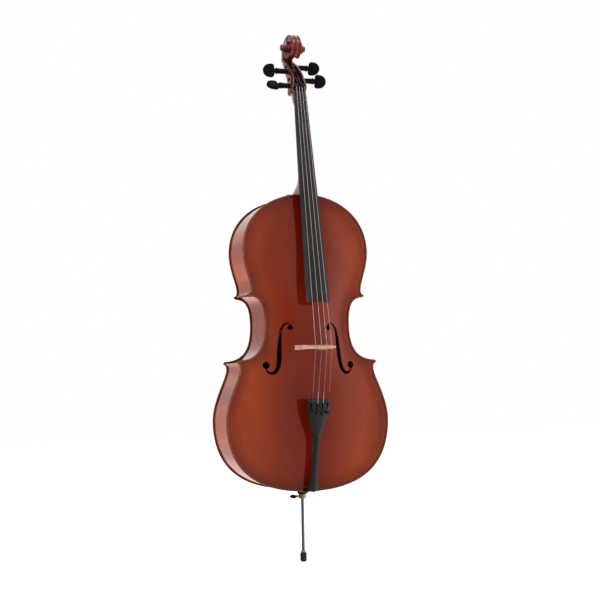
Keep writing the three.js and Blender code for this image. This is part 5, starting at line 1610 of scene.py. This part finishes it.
def endpin_parts(looks):
    """Plug, ferrule, rod, ring and rubber tip, all turned about the body's middle line."""
    low, high = COLLAR_LOW, BODY_BOTTOM - 3.8
    plug = [(ROD_BORE, low)] + arc(COLLAR_RADIUS - 1.4, low + 1.4, 1.4, -90, 0, 6)
    plug += [(COLLAR_RADIUS, low + 2.4)] + arc(COLLAR_RADIUS - 1, high - 1, 1, 0, 90, 6)
    plug += [(PLUG_NECK + 0.2, high), (PLUG_NECK, high + 0.4), (PLUG_NECK, BODY_BOTTOM - 0.6),
             (10, BODY_BOTTOM + 0.4), (9.4, BODY_BOTTOM + 52), (ROD_BORE, BODY_BOTTOM + 52)]
    piece = ring_lathe("endpin_plug_wood", plug)
    finish_piece(piece, looks["ebony"], "instrument", ["endpin_plug"], 50)

    ferrule = [(ROD_BORE, FERRULE_LOW)] + arc(FERRULE_RADIUS - 1.4, FERRULE_LOW + 1.4, 1.4, -90, 0, 6)
    ferrule += [(FERRULE_RADIUS, FERRULE_LOW + 2.2), (FERRULE_RADIUS - 0.35, FERRULE_LOW + 2.5),
                (FERRULE_RADIUS - 0.35, FERRULE_LOW + 2.9), (FERRULE_RADIUS, FERRULE_LOW + 3.2),
                (FERRULE_RADIUS, FERRULE_TOP - 1.0)]
    ferrule += arc(FERRULE_RADIUS - 0.8, FERRULE_TOP - 0.8, 0.8, 0, 90, 4) + [(ROD_BORE, FERRULE_TOP)]
    piece = ring_lathe("endpin_ferrule_metal", ferrule)
    cut(piece, tube("screw_cutter", [(-20, 0, SCREW_LEVEL), (0, 0, SCREW_LEVEL)], 2.3, 24))
    finish_piece(piece, looks["brass"], "instrument", ["endpin_ferrule"], 40)

    groove, groove_deep = 81, 0.4
    rod = [(2.4, ROD_LOW), (ROD_RADIUS, ROD_LOW + 3), (ROD_RADIUS, 30), (ROD_RADIUS, groove - 1),
           (ROD_RADIUS, groove - 0.1), (ROD_RADIUS, groove), (ROD_RADIUS - groove_deep, groove + 0.6),
           (ROD_RADIUS - groove_deep, groove + 1.6), (ROD_RADIUS, groove + 2.2), (ROD_RADIUS, groove + 2.3),
           (ROD_RADIUS, groove + 3.5), (ROD_RADIUS, ROD_HIGH - 1), (ROD_RADIUS - 0.3, ROD_HIGH - 0.3),
           (ROD_RADIUS - 1, ROD_HIGH)]
    piece = lathe("endpin_rod_steel", rod, 48)
    finish_piece(piece, looks["steel"], "endpin_body", ["endpin_rod"], 40)

    band_low = TIP_TALL + 0.3
    band = [(ROD_BORE, band_low), (6.6, band_low), (7, band_low + 0.5), (7, band_low + 3),
            (6.8, band_low + 3.6), (6.2, band_low + 4), (ROD_BORE, band_low + 4)]
    piece = ring_lathe("rod_ring_metal", band)
    finish_piece(piece, looks["brass"], "endpin_body", ["rod_ring"], 40)

    tip = [(4.6, 0), (5.2, 0.08), (6.1, 0.5), (7, 1.3), (7.8, 2.6), (8.2, 4), (8.4, 5.5),
           (8.4, 8), (8.1, 8.4), (8.1, 9), (8.4, 9.4),
           (8.4, TIP_TALL - 3), (8.2, TIP_TALL - 1.6), (7.4, TIP_TALL - 0.6), (5.3, TIP_TALL - 0.1),
           (ROD_BORE + 0.3, TIP_TALL - 0.2), (ROD_BORE, TIP_TALL - 0.5), (ROD_BORE, 8), (2, 8)]
    piece = lathe("rubber_tip_cap", tip, 64)
    finish_piece(piece, looks["rubber"], "tip_body", ["rubber_tip"], 50)


def thumb_screw(looks):
    """A short brass stem with an oval wing."""
    def across(x, y, z):
        return (-z, y, SCREW_LEVEL + x)

    stem = lathe("thumb_stem", [(1.4, ROD_BORE + 0.1), (2, ROD_BORE + 0.7), (2, 11.5), (2.6, 12), (3.3, 12.7),
                                (3.4, 14.5), (3.0, 16.4), (2.4, 17.4)], 32, across)
    rings = []
    tilt = math.radians(45)
    for k in range(13):
        slant = mix(-math.pi / 2, math.pi / 2, k / 12)
        depth = 1.9 * math.sin(slant)
        scale = 0.84 + 0.16 * max(0, math.cos(slant)) ** 0.5
        ring = []
        for t in turns_of(48):
            wide = 5.5 * math.sin(t) * scale
            ring.append(across(wide * math.cos(tilt) - depth * math.sin(tilt),
                               wide * math.sin(tilt) + depth * math.cos(tilt),
                               25 + 9 * math.cos(t) * scale))
        rings.append(ring)
    wing = joined("thumb_screw_wing", [loft("thumb_wing", rings)], 0.35, 2)
    finish_piece(stem, looks["brass"], "thumb_screw_body", (), 50)
    return finish_piece(wing, looks["black_metal"], "thumb_screw_body", ["thumb_screw"], 60)


# ---- assembly -------------------------------------------------------------------------------
looks = {
    "ebony": ebony_look("ebony_fittings", 0.34, 0.35, 0.06),
    "board": ebony_look("ebony_board", 0.42, 1.0, 0.3),
    "steel": metal_look("polished_steel", (0.36, 0.31, 0.29), 0.24, (1, 1, 0.02)),
    "brass": metal_look("polished_brass", (0.76, 0.52, 0.30), 0.26),
    "black_metal": metal_look("black_plating", (0.045, 0.045, 0.05), 0.28),
    "rubber": rubber_look(),
    "cord": thread_look("black_cord", (0.018, 0.018, 0.02)),
    "thread_dark": thread_look("dark_thread", (0.02, 0.018, 0.022)),
    "thread_pale": thread_look("pale_thread", (0.42, 0.36, 0.36)),
    "moulded": moulded_look(),
    "bare": bare_wood_look(),
    "bridge": bridge_look(),
    "purfling": purfling_look(),
}
STRING_TONES = {"c": (0.50, 0.44, 0.43), "g": (0.56, 0.49, 0.48),
                "d": (0.64, 0.55, 0.54), "a": (0.68, 0.58, 0.57)}
for string_name, tone in STRING_TONES.items():
    looks[f"string_{string_name}"] = string_look(f"wound_string_{string_name}", tone)

rib_wood = maple_look("varnished_maple_ribs", lambda look: look.stretched((1, 0.06, 1)), 11)
back_wood = maple_look("varnished_maple_back", lambda look: look.stretched((0.12, 1, 1)), 9, 0.55, "Z", True)
neck_wood = maple_look("varnished_maple_neck", lambda look: look.stretched((0.2, 0.2, 1)), 14, 0.24, "Z")

belly(belly_look())
back(back_wood)
for index in range(3):
    for mirror in (False, True):
        bout = ("upper", "waist", "lower")[index]
        rib(f"{bout}_rib_wood_{'bass' if mirror else 'treble'}", index, mirror, rib_wood)
purfling("purfling_front_line_treble", -1, (1,), "purfling_front_treble", looks["purfling"])
purfling("purfling_front_line_bass", -1, (-1,), "purfling_front_bass", looks["purfling"])
purfling("purfling_back_line", 1, (1, -1), "purfling_back", looks["purfling"])
neck_and_scroll(neck_wood)
fingerboard(looks["board"])
nut(looks["ebony"])
bridge(looks["bridge"])
saddle(looks["ebony"])
tailpiece(looks["moulded"])
tailgut(looks["cord"])
strings(looks)
for string_name in PEG_SPOTS:
    peg(string_name, looks["ebony"])
    winding(string_name, looks["thread_dark"])
for index in range(4):
    tuner_lever(index, looks["black_metal"])
    tuner_screw(index, looks["black_metal"])
endpin_parts(looks)
thumb_screw(looks)

# The inside pieces and the tuners' axle stay as the CAD nodes, with a material of their own.
CORNER_BLOCKS = [f"{bout}_corner_block_{side}" for bout in ("upper", "lower") for side in ("treble", "bass")]
BARE_NODES = ["linings_front", "linings_back", "top_block", "bottom_block", *CORNER_BLOCKS, "bass_bar",
              "sound_post"]
for node in BARE_NODES + ["tuner_axle"]:
    for slot in bpy.data.objects[node].material_slots:
        slot.material = looks["black_metal"] if node == "tuner_axle" else looks["bare"]


# ---- floor, light and camera ----------------------------------------------------------------
def floor():
    """A pale floor that the glossy varnish doesn't reflect."""
    look = Look("pale_floor", Roughness=0.9, Specular_IOR_Level=0.1)
    look.set(Base_Color=(0.96, 0.96, 0.96, 1), Emission_Color=(1, 1, 1, 1), Emission_Strength=0.7)
    reach = 9000
    corners = [(-reach, -reach, 0), (reach, -reach, 0), (reach, reach, 0), (-reach, reach, 0)]
    piece = new_object("floor", corners, [(0, 1, 2, 3)])
    piece.location.z = -0.0005
    piece.data.materials.append(look.material)
    piece.visible_glossy = False


def soft_light(name, place, target, size, power):
    data = bpy.data.lights.new(name, "AREA")
    data.shape = "RECTANGLE"
    data.size, data.size_y = size
    data.energy = power
    lamp = bpy.data.objects.new(name, data)
    lamp.location = place
    lamp.rotation_euler = (Vector(target) - Vector(place)).to_track_quat("-Z", "Y").to_euler()
    bpy.context.scene.collection.objects.link(lamp)
    return lamp


def studio_world():
    """White behind the instrument and dim in front of it and beside it, which the varnish reflects."""
    world = bpy.data.worlds.new("studio")
    world.use_nodes = True
    tree = world.node_tree
    background = tree.nodes["Background"]
    background.inputs["Color"].default_value = (1, 1, 1, 1)
    direction = tree.nodes.new("ShaderNodeTexCoord").outputs["Generated"]
    parts = tree.nodes.new("ShaderNodeSeparateXYZ")
    tree.links.new(direction, parts.inputs["Vector"])

    def remap(value, low, high, to_low, to_high):
        made = tree.nodes.new("ShaderNodeMapRange")
        made.interpolation_type = "SMOOTHSTEP"
        for key, number in (("From Min", low), ("From Max", high), ("To Min", to_low), ("To Max", to_high)):
            made.inputs[key].default_value = number
        tree.links.new(value, made.inputs["Value"])
        return made.outputs["Result"]

    def maths(operation, first, second):
        made = tree.nodes.new("ShaderNodeMath")
        made.operation = operation
        for socket, value in zip(made.inputs, (first, second)):
            if isinstance(value, bpy.types.NodeSocket):
                tree.links.new(value, socket)
            else:
                socket.default_value = value
        return made.outputs[0]

    sideways = maths("MULTIPLY", parts.outputs["X"], 0.8)
    rear = remap(maths("ADD", parts.outputs["Y"], sideways), -0.6, 0.45, 0.44, 1.0)
    left = remap(parts.outputs["X"], -0.5, 0.08, 0.32, 1.0)
    tree.links.new(maths("MULTIPLY", rear, left), background.inputs["Strength"])
    return world


floor()
bpy.context.scene.world = studio_world()
bpy.context.scene.view_settings.view_transform = "Standard"

soft_light("left_softbox", (-2.2, -2.0, 1.7), (0, 0, 0.75), (1.4, 2.2), 42)
soft_light("top_softbox", (0.6, -1.2, 3.0), (0, 0, 0.9), (2.2, 1.4), 24)

# The camera stands on the bass side and looks slightly up. Angles in radians, distance in metres.
TARGET = Vector((3.57, 0, 668.6)) * MM
YAW, PITCH, ROLL, DISTANCE = 0.3596, 0.0706, -0.0189, 3.3
FOCAL_SHARE = 1274.9 / 600  # focal length over the picture's width
SENSOR_WIDTH = 36
forward = Vector((math.sin(YAW) * math.cos(PITCH), math.cos(YAW) * math.cos(PITCH), math.sin(PITCH)))
level_right = Vector((math.cos(YAW), -math.sin(YAW), 0))
level_up = level_right.cross(forward)
right = level_right * math.cos(ROLL) + level_up * math.sin(ROLL)
up = level_up * math.cos(ROLL) - level_right * math.sin(ROLL)
camera_data = bpy.data.cameras.new("camera")
camera_data.sensor_width = SENSOR_WIDTH
camera_data.lens = FOCAL_SHARE * SENSOR_WIDTH
camera = bpy.data.objects.new("camera", camera_data)
turn = Matrix((right, up, -forward)).transposed().to_4x4()
camera.matrix_world = Matrix.Translation(TARGET - forward * DISTANCE) @ turn
bpy.context.scene.collection.objects.link(camera)
bpy.context.scene.camera = camera

bpy.context.view_layer.update()
